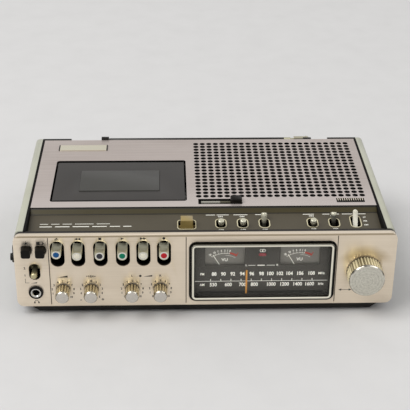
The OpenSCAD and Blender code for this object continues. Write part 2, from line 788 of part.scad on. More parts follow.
// Plastic deck with the rails of the body's sides, the cassette well and the speaker baffle
module top_case() from_front() color([0.06, 0.06, 0.06]) difference() {
    union() {
        translate([-inner_half + fit, plate_front, slab_z])
            cube([2 * inner_half - 2 * fit, plate_back - plate_front, deck_t]);
        for (s = [-1, 1])
            translate([s * (inner_half - fit) - (s > 0 ? rim_w - 2 * fit : 0), frame_back + fit,
                top_z - strip_front_drop - strip_t - over])
                cube([rim_w - 2 * fit, plate_back - frame_back - fit, strip_front_drop + strip_t + over]);
        along_z(deck_z, slab_z - deck_z + 0.1) translate([open_mid, open_y + opening_d / 2])
            square([opening_w + 2 * well_t, opening_d + 2 * well_t], center = true);
        translate([monitor_x - tray_t, monitor_y - tray_t, top_z - tray_d - tray_t])
            cube([monitor_w + 2 * tray_t, monitor_d + 2 * tray_t, slab_z - top_z + tray_d + tray_t + 0.1]);
    }
    translate([open_x, open_y, deck_z - over]) cube([opening_w, opening_d, well_d + 2 * over]);
    bar_x([open_x - well_t - over, hinge_y, hinge_z], pin_r + run, opening_w + 2 * well_t + 2 * over);
    translate([monitor_x, monitor_y, top_z - tray_d]) cube([monitor_w, monitor_d, tray_d + over]);
    translate([monitor_x + 2, monitor_y + monitor_d / 2 - 2, top_z - tray_d - tray_t - over])
        cube([monitor_w - 4, 4, tray_t + 2 * over]);
    along_z(slab_z - over, deck_t + 2 * over) baffle_slots();
    translate([field_x - columns * hole_pitch - hole_r - recess_rim,
        field_y - rows * hole_pitch - hole_r - recess_rim, slab_z + deck_t - recess_d])
        cube([columns * hole_pitch + 2 * (hole_r + recess_rim),
            rows * hole_pitch + 2 * (hole_r + recess_rim), recess_d + over]);
}

// Slots of the speaker baffle, one for every two columns of holes, inside the cone's circle
module baffle_slots() intersection() {
    translate([speaker_x, speaker_y]) circle(speaker_r - 4);
    for (i = [0:2:columns])
        translate([field_x - (i + 0.5) * hole_pitch, speaker_y])
            square([2 * hole_pitch - 4, field_d + hole_pitch], center = true);
}

// Metal sheet with the lid opening, the speaker holes, the monitor slot and the microphone's comb
module top_plate() from_front() color([0.64, 0.60, 0.60]) along_z(top_z - plate_t, plate_t) difference() {
    translate([-plate_half, plate_front]) square([2 * plate_half, plate_back - plate_front]);
    translate([open_mid, open_y + opening_d / 2]) rounded_rect(opening_w, opening_d, opening_r);
    translate([monitor_x, monitor_y]) square([monitor_w, monitor_d]);
    for (i = [0:columns])
        for (j = [0:rows])
            translate([field_x - i * hole_pitch, field_y - j * hole_pitch]) circle(hole_r);
    for (i = [0:12])
        translate([field_x - i * hole_pitch / 3.2 - 0.6, monitor_y + 2]) square([1.2, monitor_d - 2.6]);
}

// Lid with a skirt, turning on the pins of its rear barrel
module cassette_lid() from_front() color([0.20, 0.19, 0.18]) {
    difference() {
        union() {
            translate([open_mid - lid_w / 2, lid_y, lid_z - lid_t]) cube([lid_w, hinge_y - lid_y, lid_t]);
            translate([open_mid - lid_w / 2, lid_y, lid_z - lid_skirt])
                cube([lid_w, skirt_t, lid_skirt - lid_t + 0.1]);
            for (x = [open_mid - lid_w / 2, open_mid + lid_w / 2 - skirt_t])
                translate([x, lid_y, lid_z - lid_skirt])
                    cube([skirt_t, hinge_y - lid_y, lid_skirt - lid_t + 0.1]);
            bar_x([open_mid - lid_w / 2, hinge_y, hinge_z], barrel_r, lid_w);
        }
        translate([open_mid - window_w / 2 - fit, lid_y + window_front - fit, lid_z - lid_skirt])
            cube([window_w + 2 * fit, window_d + 2 * fit, lid_skirt + over]);
    }
    bar_x([open_mid - opening_w / 2 - well_t + 0.4, hinge_y, hinge_z], pin_r, opening_w + 2 * well_t - 0.8);
}

// Smoked window, raised above the lid and held by a flange under it
module lid_window() from_front() color([0.25, 0.25, 0.24]) {
    translate([open_mid - window_w / 2, lid_y + window_front, lid_z - lid_t - 0.1])
        cube([window_w, window_d, lid_t + window_rise + 0.1]);
    translate([open_mid - window_w / 2 - 3, lid_y + window_front - 3, lid_z - lid_t - 1.2])
        cube([window_w + 6, window_d + 6, 1.2]);
}

// Steel plate under the well: bearings, cassette rests and the head plate's guide pins
module deck_plate() from_front() color([0.60, 0.60, 0.58]) difference() {
    union() {
        along_z(deck_z - deck_plate_t, deck_plate_t) translate([open_mid, open_y + opening_d / 2])
            square([opening_w + 2 * well_t, opening_d + 2 * well_t], center = true);
        for (x = [-44, 44])
            for (y = [14, 52]) bar_z([open_mid + x, tape_y + y, deck_z - 0.1], 3, 2.6);
        for (x = guide_x) bar_z([open_mid + x, guide_y, deck_z - 0.1], guide_r, 2.6);
        for (s = [-1, 1])
            bar_z([open_mid + s * hub_pitch / 2, hub_y, deck_z - deck_plate_t - 3.4], reel_r + 2.4, 3.5);
        bar_z([pinch_x, capstan_y, deck_z - deck_plate_t - 14], capstan_r + 3, 14.1);
    }
    for (s = [-1, 1])
        bar_z([open_mid + s * hub_pitch / 2, hub_y, deck_z - well_d], reel_r + run, 2 * well_d);
    bar_z([pinch_x, capstan_y, flywheel_z], capstan_r + run, flywheel_drop + well_d);
}

// Reel spindle with a table, six ribs for the hub and a drive wheel under the deck
module reel_spindle(x) from_front() color([0.85, 0.84, 0.80]) translate([x, hub_y, deck_z]) {
    bar_z([0, 0, -8.6], reel_r, 20.6);
    bar_z([0, 0, 0.4], 9, 1.6);
    for (a = [0:60:300])
        rotate(a) translate([0, -0.5, 1.9]) cube([reel_r + 1.5, 1, 8]);
    bar_z([0, 0, -8.7], 11, 3);
}

module supply_spindle() reel_spindle(open_mid - hub_pitch / 2);

module takeup_spindle() reel_spindle(open_mid + hub_pitch / 2);

// Flywheel and capstan in one piece, with a groove for the belt
module capstan() from_front() color([0.72, 0.70, 0.62]) {
    bar_z([pinch_x, capstan_y, flywheel_z + 1], capstan_r, deck_z - flywheel_z + 9.5);
    translate([pinch_x, capstan_y, flywheel_z]) rotate_extrude() grooved(flywheel_r);
}

// Half section of a wheel with a belt groove
module grooved(r)
    polygon([[0, 0], [r, 0], [r, 1.5], [r - belt_groove, 2], [r - belt_groove, flywheel_t - 2],
        [r, flywheel_t - 1.5], [r, flywheel_t], [0, flywheel_t]]);

// Sliding plate with the two heads and the pinch roller's pin
module head_plate() from_front() color([0.66, 0.66, 0.66]) {
    difference() {
        translate([open_mid - head_left, pinch_y - head_front, head_z])
            cube([head_left + capstan_x + head_right, head_front + head_back, head_plate_t]);
        for (x = guide_x)
            along_z(head_z - over, head_plate_t + 2 * over)
                translate([open_mid + x, guide_y - head_travel / 2])
                    obround(2 * guide_r + 0.6, 2 * guide_r + 0.6 + head_travel);
    }
    along_z(head_z + head_plate_t - 0.1, 8.4) {
        translate([open_mid, pinch_y - 3.2]) rounded_rect(14, 8.4, 1.6);
        translate([open_mid - 22, pinch_y - 3.2]) rounded_rect(9, 7.4, 1.2);
    }
    bar_z([pinch_x, pinch_y, head_z + 0.5], 1.5, 9.6);
}

module pinch_roller() from_front() color([0.12, 0.12, 0.12]) difference() {
    bar_z([pinch_x, pinch_y, head_z + head_plate_t + 0.3], pinch_r, 7.6);
    bar_z([pinch_x, pinch_y, head_z], 1.5 + run, 14);
}

// Motor hung under the deck plate, with its pulley in line with the flywheel's groove
module motor() from_front() color([0.55, 0.55, 0.55]) {
    motor_z = flywheel_z + flywheel_t + 2;
    bar_z([motor_x, motor_y, motor_z], motor_r, deck_z - deck_plate_t - motor_z);
    bar_z([motor_x, motor_y, motor_z - 2.1], 1, 2.2);
    translate([motor_x, motor_y, flywheel_z]) rotate_extrude() grooved(pulley_r);
}

module belt_loop(grow) hull() {
    translate([pinch_x, capstan_y]) circle(flywheel_r - belt_groove + grow);
    translate([motor_x, motor_y]) circle(pulley_r - belt_groove + grow);
}

module drive_belt() from_front() color([0.1, 0.1, 0.1])
    along_z(flywheel_z + 2.6, flywheel_t - 5.2) difference() {
        belt_loop(0.3 + belt_t);
        belt_loop(0.3);
    }

// Lever key: a tongue with a flat top and a round underside, on an arm that turns on the key shaft
module lever_key(i, reach) from_front() color([0.72, 0.71, 0.68]) difference() {
    union() {
        along_y(-reach, reach + web_back + 2) translate([key_x(i), key_z]) {
            difference() {
                circle(key_w / 2);
                translate([-key_w, 0]) square(2 * key_w);
            }
            translate([-key_w / 2, -0.1]) square([key_w, key_w / 2 - 1]);
        }
        translate([key_x(i) - 2.5, web_back + 1, key_shaft_z - 2.6])
            cube([5, key_shaft_y - web_back - 1, 4.6]);
        bar_x([key_x(i) - 4, key_shaft_y, key_shaft_z], key_shaft_r + 1.8, 8);
    }
    bar_x([key_x(i) - 5, key_shaft_y, key_shaft_z], key_shaft_r + run, 10);
    bar_y([key_x(i), -reach - over, key_z], disc_r, over + 0.5);
    along_y(-reach + 2.6, reach + web_back)
        translate([key_x(i) - key_w / 2 + 1.2, key_z + key_w / 2 - 1.1 - key_groove])
            square([key_w - 2.4, key_groove + over]);
}

module eject_key() lever_key(0, key_reach - eject_short);

module rewind_key() lever_key(1, key_reach);

module stop_key() lever_key(2, key_reach);

module play_key() lever_key(3, key_reach);

module forward_key() lever_key(4, key_reach);

module record_key() lever_key(5, key_reach);

module key_shaft() from_front() color([0.7, 0.7, 0.7])
    bar_x([key_x(0) - key_ear_gap - key_ear_t, key_shaft_y, key_shaft_z], key_shaft_r,
        key_x(5) - key_x(0) + 2 * (key_ear_gap + key_ear_t));

// Outline of a fluted grip
module fluted(r, flutes, flute_r, depth) difference() {
    circle(r);
    for (i = [0:flutes - 1]) rotate(i * 360 / flutes) translate([r + flute_r - depth, 0]) circle(flute_r);
}

// Fluted knob with a turned cap, pointing at the viewer, and its spindle
module turned_knob(x, z, r, reach, flutes, flute_r, spindle_len) translate([x, 0, z]) rotate([90, 0, 0]) {
    cap = 2.4;
    translate([0, 0, 0.6]) linear_extrude(reach - cap - 0.6) fluted(r, flutes, flute_r, flute_r * 0.6);
    translate([0, 0, reach - cap - 0.1]) cylinder(h = cap / 2 + 0.1, r = r - 0.1);
    translate([0, 0, reach - cap / 2]) cylinder(h = cap / 2, r1 = r - 0.1, r2 = r - 0.9);
    translate([0, 0, -spindle_len]) cylinder(h = spindle_len + 1, r = spindle_r);
}

module small_knob(i) from_front() color([0.78, 0.66, 0.42])
    turned_knob(knob_x(i), base_h + knob_z, knob_r, knob_reach, knob_flutes, 0.9, web_back + 9);

module speaker_volume_knob() small_knob(0);

module tone_knob() small_knob(1);

module record_left_knob() small_knob(2);

module record_right_knob() small_knob(3);

module tuning_knob() from_front() color([0.76, 0.72, 0.62])
    turned_knob(tuning_x, drum_z, tuning_r, tuning_reach, tuning_flutes, 1.1, 20);

// Four potentiometers with threaded necks, each with a terminal tab
module potentiometers() from_front() color([0.62, 0.62, 0.60]) for (i = [0:3]) difference() {
    union() {
        bar_y([knob_x(i), web_back, base_h + knob_z], 8.2, 11);
        bar_y([knob_x(i), 0.2, base_h + knob_z], spindle_r + neck_t, web_back);
        translate([knob_x(i) - 6, web_back + 3, base_h + knob_z + 6]) cube([12, 2, 6]);
    }
    bar_y([knob_x(i), -over, base_h + knob_z], spindle_r + run, web_back + 10.4);
}

// Grooved drum with a hub, on the shaft of the tuning capacitor
module dial_drum() from_front() color([0.82, 0.80, 0.74]) difference() {
    translate([drum_x, drum_y, drum_z]) rotate([-90, 0, 0]) rotate_extrude()
        polygon([[0, 0], [drum_r, 0], [drum_r, 1], [drum_r - 1.2, 1.6], [drum_r - 1.2, drum_t - 1.6],
            [drum_r, drum_t - 1], [drum_r, drum_t], [spindle_r + 3, drum_t], [spindle_r, drum_t],
            [spindle_r, drum_t + 12], [0, drum_t + 12]]);
    for (a = [30:120:270])
        translate([drum_x, 0, drum_z]) rotate([0, a, 0])
            bar_y([drum_r * 0.6, drum_y - over, 0], drum_r / 4, drum_t + 2 * over);
}

// Pointer bar in front of the scale, with a foot and a carriage that runs on the rail
module dial_pointer() from_front() color([0.9, 0.45, 0.1]) {
    x = left_x + dial_left + pointer_x;
    translate([x - 0.8, scale_y - 1.9, rail_z - 0.8]) cube([1.6, 0.9, pointer_len]);
    translate([x - 0.8, scale_y - 1.9, rail_z - 0.8]) cube([1.6, rail_y - scale_y, 1.6]);
    difference() {
        translate([x - 4, rail_y - 2.4, rail_z - 2]) cube([8, 4.8, 4]);
        bar_x([x - 5, rail_y, rail_z], rail_r + run, 10);
    }
}

// Pale raised frame round the dial window
module dial_frame() from_front() color([0.85, 0.82, 0.74]) along_y(-dial_reach, dial_reach + panel_t)
    translate([dial_x, dial_z]) difference() {
        rounded_rect(frame_w, frame_h, dial_r - dial_gap);
        rounded_rect(frame_w - 2 * dial_bar, frame_h - 2 * dial_bar, max(dial_r - dial_gap - dial_bar, 1));
    }

module dial_glass() from_front() color([0.5, 0.52, 0.5, 0.4]) along_y(panel_t - glass_t, glass_t)
    translate([dial_x, dial_z])
        rounded_rect(pane_w, pane_h, max(dial_r - dial_gap - dial_bar, 1));

// Scale plate with the meter windows and the rail of the pointer under its lower edge
module dial_plate() from_front() color([0.2, 0.2, 0.2]) {
    low = dial_z - housing_h / 2;
    along_y(scale_y, scale_t) difference() {
        translate([dial_x - housing_w / 2, low]) square([housing_w, housing_h]);
        translate([dial_x - housing_w / 2 + 9, low - over])
            square([housing_w - 18, scale_low - low + over]);
        for (i = [0:1])
            translate([meter_x(i) - meter_w / 2, base_h + meter_z]) square([meter_w, meter_h]);
    }
    for (x = [dial_x - housing_w / 2 + 4, dial_x + housing_w / 2 - 7])
        translate([x, scale_y + scale_t - 0.1, low]) cube([3, rail_y - scale_y - scale_t + 2, 5]);
    bar_x([dial_x - housing_w / 2 + 5, rail_y, rail_z], rail_r, housing_w - 10);
}

function meter_x(i) = left_x + dial_left + meter_first + i * meter_pitch;

// Two moving-coil meters behind the scale plate, each with a pin for its needle
module vu_meters() from_front() color([0.45, 0.45, 0.44]) for (i = [0:1]) {
    y = needle_y + needle_t + 0.8;
    low = base_h + needle_z - 3.6;
    high = base_h + meter_z + meter_h;
    difference() {
        translate([meter_x(i) - meter_w / 2 - meter_t, scale_y + scale_t, low - meter_t])
            cube([meter_w + 2 * meter_t, meter_back - scale_y - scale_t, high - low + 2 * meter_t]);
        translate([meter_x(i) - meter_w / 2, scale_y + scale_t - over, low])
            cube([meter_w, y - scale_y - scale_t + over, high - low]);
    }
    bar_y([meter_x(i), scale_y + scale_t + 0.1, base_h + needle_z], 0.8, y - scale_y - scale_t + 0.2);
}

// Thin needle on a small hub, leaning to the left at rest
module needle_on(i) from_front() color([0.9, 0.9, 0.88])
    translate([meter_x(i), needle_y, base_h + needle_z]) rotate([0, -needle_lean, 0]) difference() {
        union() {
            bar_y([0, 0, 0], 2, needle_t);
            translate([-0.3, 0, -2.8]) cube([0.6, needle_t, needle_len + 2.8]);
        }
        bar_y([0, -over, 0], 0.8 + run, needle_t + 2 * over);
    }

module left_needle() needle_on(0);

module right_needle() needle_on(1);

// Square push button with a flange behind the web
module push_button(i) from_front() color([0.06, 0.06, 0.06]) {
    x = left_x + button_first + i * button_pitch;
    along_y(-button_reach, button_reach + web_back + 0.5)
        translate([x, button_z]) rounded_rect(button_w, button_w, button_r);
    along_y(web_back + 0.4, 1.6) translate([x, button_z]) square(button_flange, center = true);
}

module light_button() push_button(0);

module battery_button() push_button(1);

// Level switch: a tapered round lever on trunnions behind the web
module level_switch() from_front() color([0.75, 0.74, 0.72])
    translate([switch_left, web_back + 7, base_h + level_z]) {
        bar_x([-4.8, 0, 0], 3, 9.6);
        bar_x([-7, 0, 0], trunnion_r, 14);
        translate([0, -7 - web_back - lever_len, 0]) rotate([-90, 0, 0])
            cylinder(h = 7 + web_back + lever_len, r1 = lever_r, r2 = lever_r - 0.6);
        translate([0, -8 - web_back - lever_len, 0]) rotate([-90, 0, 0])
            cylinder(h = 1, r1 = lever_r - 0.9, r2 = lever_r);
    }

// Headphone socket: body, threaded neck and ring nut, with the plug's bore
module headphone_jack() from_front() color([0.2, 0.2, 0.2]) translate([switch_left, 0, base_h + jack_z])
    difference() {
        union() {
            bar_y([0, -2, 0], jack_neck_r, web_back + 2.1);
            bar_y([0, -1.4, 0], jack_nut_r, 1.4);
            translate([-8, web_back, -8]) cube([16, jack_bore_d, 16]);
        }
        bar_y([0, -3, 0], jack_bore_r, jack_bore_d + 1);
        translate([0, -2.01, 0]) rotate([-90, 0, 0])
            cylinder(h = 0.81, r1 = jack_bore_r + 0.8, r2 = jack_bore_r);
    }

// Two microphone sockets in the left side panel
module mic_jacks() from_front() color([0.07, 0.07, 0.07]) for (i = [0:1])
    translate([-body_half, mic_first + i * mic_pitch, base_h + mic_z]) difference() {
        union() {
            bar_x([-mic_reach, 0, 0], mic_neck_r, mic_reach + side_t + 0.1);
            bar_x([-mic_nut_t, 0, 0], mic_nut_r, mic_nut_t);
            translate([side_t, -5, -6]) cube([14, 10, 12]);
        }
        bar_x([-mic_reach - over, 0, 0], mic_bore_r, mic_bore_d + over);
    }

// Pause key: a block that slides in the strip, with a foot under it
module pause_key() from_front() color([0.42, 0.37, 0.24]) {
    foot_z = strip_at(pause_y) - strip_t - 0.5 - 3;
    translate([pause_x - pause_w / 2, pause_y, foot_z]) cube([pause_w, pause_d, top_z + 1 - foot_z]);
    translate([pause_x - pause_w / 2 - 5.5, pause_y, foot_z]) cube([pause_w + 11, pause_d + 2, 3]);
}

// Switch lever on trunnions, leaning to the front or the back
module toggle(i, lean) from_front() translate([toggle_x[i], toggle_y, toggle_z]) {
    bar_x([-barrel_half, 0, 0], 3, 2 * barrel_half);
    bar_x([-barrel_half - ear_t - 0.2, 0, 0], trunnion_r, 2 * barrel_half + 2 * ear_t + 0.4);
    rotate([lean, 0, 0]) children();
}

// Bat-shaped lever with a round end
module ball_lever() {
    cylinder(h = toggle_len, r1 = bat_r - 0.4, r2 = bat_r);
    translate([0, 0, toggle_len]) sphere(bat_r + 0.6);
}

module tape_switch() color([0.7, 0.69, 0.66]) toggle(0, toggle_lean) ball_lever();

module record_mode_switch() color([0.7, 0.69, 0.66]) toggle(1, toggle_lean) ball_lever();

module noise_switch() color([0.7, 0.69, 0.66]) toggle(2, -toggle_lean) ball_lever();

module sleep_switch() color([0.7, 0.69, 0.66]) toggle(3, toggle_lean) ball_lever();

module afc_switch() color([0.7, 0.69, 0.66]) toggle(4, -toggle_lean) ball_lever();

module band_switch() color([0.86, 0.83, 0.74]) toggle(5, -toggle_lean) {
    translate([-2.3, -1.4, 0]) cube([4.6, 2.8, toggle_len + 3]);
    bar_y([0, -1.4, toggle_len + 3], 2.3, 2.8);
}

// Monitor slider: knob in the tray, stem through its slot and foot under it
module monitor_slider() from_front() color([0.05, 0.05, 0.05]) {
    x = monitor_x + monitor_w - slider_w - 0.3;
    mid_x = x + slider_w / 2;
    mid_y = monitor_y + monitor_d / 2;
    translate([x, monitor_y + 0.35, top_z - tray_d + 0.3])
        cube([slider_w, monitor_d - 0.7, tray_d - 0.3 + slider_rise]);
    translate([mid_x - 2, mid_y - 1.7, top_z - tray_d - tray_t - 1.4]) cube([4, 3.4, tray_t + 2]);
    translate([mid_x - 4, mid_y - 4, top_z - tray_d - tray_t - 2.3]) cube([8, 8, 2]);
}

// Loudspeaker facing up: rim under the baffle, cone, basket and magnet in one turned piece
module speaker() from_front() color([0.1, 0.1, 0.1]) {
    cone_z = magnet_t - speaker_d;
    translate([speaker_x, speaker_y, slab_z]) rotate_extrude()
        polygon([[0, cone_z + 5], [6, cone_z + 4.4], [11, cone_z + 2.6], [14, cone_z + 1.2],
            [speaker_r - 10, -5], [speaker_r - 7, -3.4], [speaker_r - 4, -4], [speaker_r - 4, 0],
            [speaker_r, 0], [speaker_r, -2.6], [speaker_r - 3, -6], [magnet_r - 12, cone_z],
            [magnet_r, cone_z], [magnet_r, -speaker_d], [0, -speaker_d]]);
}

// Circuit board with the tuning capacitor, a heat sink and electrolytic capacitors
module main_board() from_front() color([0.35, 0.28, 0.14]) {
    difference() {
        union() {
            translate([board_x, board_y, board_z]) cube([board_w, board_d, board_t]);
            translate([drum_x - 16, drum_y + drum_t + 4, board_z]) cube([32, 30, drum_z + 14 - board_z]);
        }
        bar_y([drum_x, drum_y, drum_z], spindle_r + run, drum_t + 14);
    }
    for (i = [0:4]) translate([board_x + 14 + 4 * i, board_y + 40, board_z]) cube([1.6, 34, 20]);
    for (i = [0:3]) bar_z([board_x + 48 + 18 * i, board_y + 84, board_z], 6, 22);
}

// Turntable and fork of the aerial, on a pin in the rear panel's tab
module aerial_base() from_front() color([0.66, 0.66, 0.66]) difference() {
    union() {
        bar_y([aerial_x, rear_y, aerial_z], aerial_pin_r, rear_t + 1);
        bar_y([aerial_x, case_d + 0.3, aerial_z], aerial_hub_r, aerial_out + fork_half - 0.3);
        translate([aerial_x - fork_len, aerial_y - fork_half, aerial_z - fork_half])
            cube([fork_len, 2 * fork_half, 2 * fork_half]);
    }
    difference() {
        translate([aerial_x - fork_len - over, aerial_y - 5, aerial_z - 1.5]) cube([fork_len - 3.6, 10, 3]);
        bar_z([tilt_x, aerial_y, aerial_z - 5], tilt_pin_r, 10);
    }
}

// Lower tube of the aerial, with a tongue in the fork
module aerial_tube() from_front() color([0.3, 0.3, 0.3]) difference() {
    union() {
        bar_x([tube_end - aerial_len, aerial_y, aerial_z], aerial_r, aerial_len);
        translate([tube_end - 0.5, aerial_y - 2.2, aerial_z - 1.2]) cube([tilt_x - tube_end + 0.5, 4.4, 2.4]);
        bar_z([tilt_x, aerial_y, aerial_z - 1.2], 2.2, 2.4);
    }
    bar_z([tilt_x, aerial_y, aerial_z - 5], tilt_pin_r + run, 10);
    bar_x([tube_end - aerial_len - over, aerial_y, aerial_z], 2 + run, aerial_len - 4);
}

// Inner rod of the aerial with a turned tip
module aerial_rod() from_front() color([0.8, 0.8, 0.8]) {
    bar_x([tube_end - aerial_len - 0.3, aerial_y, aerial_z], 2, aerial_len - 6);
    bar_x([tube_end - aerial_len - 6.3, aerial_y, aerial_z], aerial_r, 6);
}

bottom_case();
feet();
rear_panel();
battery_cover();
left_side_panel();
right_side_panel();
front_frame();
front_panel();
control_strip();
top_case();
top_plate();
cassette_lid();
lid_window();
deck_plate();
supply_spindle();
takeup_spindle();
capstan();
head_plate();
pinch_roller();
motor();
drive_belt();
eject_key();
rewind_key();
stop_key();
play_key();
forward_key();
record_key();
key_shaft();
speaker_volume_knob();
tone_knob();
record_left_knob();
record_right_knob();
potentiometers();
tuning_knob();
dial_drum();
dial_pointer();
dial_frame();
dial_glass();
dial_plate();
vu_meters();
left_needle();
right_needle();
light_button();
battery_button();
level_switch();
headphone_jack();
mic_jacks();
pause_key();
tape_switch();
record_mode_switch();
noise_switch();
sleep_switch();
afc_switch();
band_switch();
monitor_slider();
speaker();
main_board();
aerial_base();
aerial_tube();
aerial_rod();
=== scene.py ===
import json
import math

import bpy
from mathutils import Matrix, Vector


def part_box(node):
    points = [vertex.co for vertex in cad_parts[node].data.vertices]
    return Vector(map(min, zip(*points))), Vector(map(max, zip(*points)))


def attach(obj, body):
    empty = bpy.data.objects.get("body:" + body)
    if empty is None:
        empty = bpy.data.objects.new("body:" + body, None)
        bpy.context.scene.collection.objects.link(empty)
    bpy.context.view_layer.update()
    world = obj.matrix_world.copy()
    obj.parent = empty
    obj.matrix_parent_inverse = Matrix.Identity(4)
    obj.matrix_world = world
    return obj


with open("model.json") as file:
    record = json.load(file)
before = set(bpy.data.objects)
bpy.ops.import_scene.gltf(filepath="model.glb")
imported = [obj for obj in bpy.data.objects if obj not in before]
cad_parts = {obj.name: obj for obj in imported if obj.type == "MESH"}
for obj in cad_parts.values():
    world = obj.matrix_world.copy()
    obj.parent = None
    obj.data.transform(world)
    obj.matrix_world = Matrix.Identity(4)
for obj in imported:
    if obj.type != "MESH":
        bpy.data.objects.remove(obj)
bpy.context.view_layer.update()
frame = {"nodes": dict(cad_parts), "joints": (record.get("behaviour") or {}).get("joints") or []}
nodes = frame["nodes"]
print("frame loaded:", len(nodes), "nodes")

mm = 0.001
toRight, toBack, upward = (1, 0, 0), (0, 1, 0), (0, 0, 1)
toFront, downward = (0, -1, 0), (0, 0, -1)
panelLow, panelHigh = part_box("front_panel")
midX = (panelLow.x + panelHigh.x) / 2 / mm  # the body's middle
faceY = panelLow.y / mm  # the panel's front face
topZ = panelHigh.z / mm
baseZ = panelLow.z / mm


def place(x, back, z):  # x from the body's middle, back from the panel's face, z from the table, all in mm
    return Vector(((midX + x) * mm, (faceY + back) * mm, z * mm))


def fromFace(point):  # the way back from the frame's metres
    return Vector((point[0] / mm - midX, point[1] / mm - faceY, point[2] / mm))


def middle(node):
    low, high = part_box(node)
    return fromFace((low + high) / 2)


def tipOf(node):  # how far back its front end lies
    return fromFace(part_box(node)[0]).y


def jointOf(node):
    return next(joint for joint in frame["joints"] if joint["child"] == node)


def tone(red, green, blue):  # a screen colour as the shader wants it
    def straight(value):
        value = value / 255
        return value / 12.92 if value <= 0.04045 else ((value + 0.055) / 1.055) ** 2.4
    return (straight(red), straight(green), straight(blue), 1.0)


# shared effects

def newGroup(name, takes, gives):
    group = bpy.data.node_groups.new(name, "ShaderNodeTree")
    kinds = {"colour": "NodeSocketColor", "number": "NodeSocketFloat", "vector": "NodeSocketVector"}
    for label, kind, value in takes:
        socket = group.interface.new_socket(label, in_out="INPUT", socket_type=kinds[kind])
        socket.default_value = value
    for label, kind in gives:
        group.interface.new_socket(label, in_out="OUTPUT", socket_type=kinds[kind])
    return group, group.nodes.new("NodeGroupInput").outputs, group.nodes.new("NodeGroupOutput").inputs


def putOut(group, gives, **outlets):
    for label, outlet in outlets.items():
        group.links.new(outlet, gives[label])
    return group


def setSocket(tree, socket, value):  # a plain value is set, an outlet is linked
    if isinstance(value, (int, float, tuple)):
        socket.default_value = value
    else:
        tree.links.new(value, socket)


def feed(tree, node, values):  # sockets by name
    for label, value in values.items():
        setSocket(tree, node.inputs[label], value)


def pairNode(tree, kind, work, pair):  # a node that works on its first two inputs
    node = tree.nodes.new(kind)
    node.operation = work
    for socket, value in zip(node.inputs, pair):
        setSocket(tree, socket, value)
    return node


def mathNode(tree, work, first, second):
    return pairNode(tree, "ShaderNodeMath", work, (first, second)).outputs[0]


def vectorNode(tree, work, first, second=(0, 0, 0)):
    node = pairNode(tree, "ShaderNodeVectorMath", work, (first, second))
    return node.outputs["Value" if work in ("DOT_PRODUCT", "LENGTH") else "Vector"]


def noiseNode(tree, vector, scale, detail):
    node = tree.nodes.new("ShaderNodeTexNoise")
    feed(tree, node, {"Vector": vector, "Scale": scale, "Detail": detail})
    return node.outputs["Fac"]


def spread(tree, value, low, high):  # noise sits near the middle, so its range is opened up
    node = tree.nodes.new("ShaderNodeMapRange")
    feed(tree, node, {"Value": value, "From Min": 0.3, "From Max": 0.7, "To Min": low, "To Max": high})
    return node.outputs["Result"]


def clamped(tree, value):  # held between 0 and 1
    node = tree.nodes.new("ShaderNodeClamp")
    feed(tree, node, {"Value": value})
    return node.outputs["Result"]


def blendColour(tree, factor, first, second):
    node = tree.nodes.new("ShaderNodeMix")
    node.data_type = "RGBA"
    for k, value in ((0, factor), (6, first), (7, second)):  # its share and its two colours
        setSocket(tree, node.inputs[k], value)
    return node.outputs[2]


def blendNumber(tree, factor, first, second):
    node = tree.nodes.new("ShaderNodeMix")
    feed(tree, node, {"Factor": factor, "A": first, "B": second})
    return node.outputs["Result"]


def placeOn(tree):  # place on the piece
    return tree.nodes.new("ShaderNodeTexCoord").outputs["Object"]


def makeHairline():  # long scratches of a brushed sheet, with a slow cloud of handling over them
    group, takes, gives = newGroup(
        "hairline",
        [("Base", "colour", (0.5, 0.5, 0.5, 1)), ("Streak", "colour", (0.4, 0.4, 0.4, 1)),
         ("Stretch", "vector", (20, 20, 4000)), ("Low", "number", 0.25), ("High", "number", 0.45)],
        [("Colour", "colour"), ("Roughness", "number"), ("Height", "number")])
    where = placeOn(group)
    lines = noiseNode(group, vectorNode(group, "MULTIPLY", where, takes["Stretch"]), 1.0, 4.0)
    cloud = noiseNode(group, where, 14.0, 3.0)
    amount = mathNode(group, "MULTIPLY", spread(group, lines, 0.0, 1.0), spread(group, cloud, 0.45, 1.0))
    wear = mathNode(group, "MULTIPLY", mathNode(group, "ADD", lines, cloud), 0.5)
    return putOut(group, gives, Colour=blendColour(group, amount, takes["Base"], takes["Streak"]),
                  Roughness=spread(group, wear, takes["Low"], takes["High"]), Height=lines)


def makeGrain():  # moulded or painted skin: fine pimples, slow patches
    group, takes, gives = newGroup(
        "grain",
        [("Base", "colour", (0.1, 0.1, 0.1, 1)), ("Patch", "colour", (0.15, 0.15, 0.15, 1)),
         ("Fineness", "number", 1800.0), ("Low", "number", 0.4), ("High", "number", 0.6)],
        [("Colour", "colour"), ("Roughness", "number"), ("Height", "number")])
    where = placeOn(group)
    fine = noiseNode(group, where, takes["Fineness"], 2.0)
    slow = noiseNode(group, where, 22.0, 4.0)
    amount = mathNode(group, "MULTIPLY", spread(group, slow, 0.0, 1.0), spread(group, fine, 0.5, 1.0))
    return putOut(group, gives, Colour=blendColour(group, amount, takes["Base"], takes["Patch"]),
                  Roughness=spread(group, slow, takes["Low"], takes["High"]), Height=fine)


def aroundAxis(group, where, centre):  # the spoke from an axis that points at the viewer, and its length
    spoke = vectorNode(group, "MULTIPLY", vectorNode(group, "SUBTRACT", where, centre), (1, 0, 1))
    return spoke, vectorNode(group, "LENGTH", spoke)


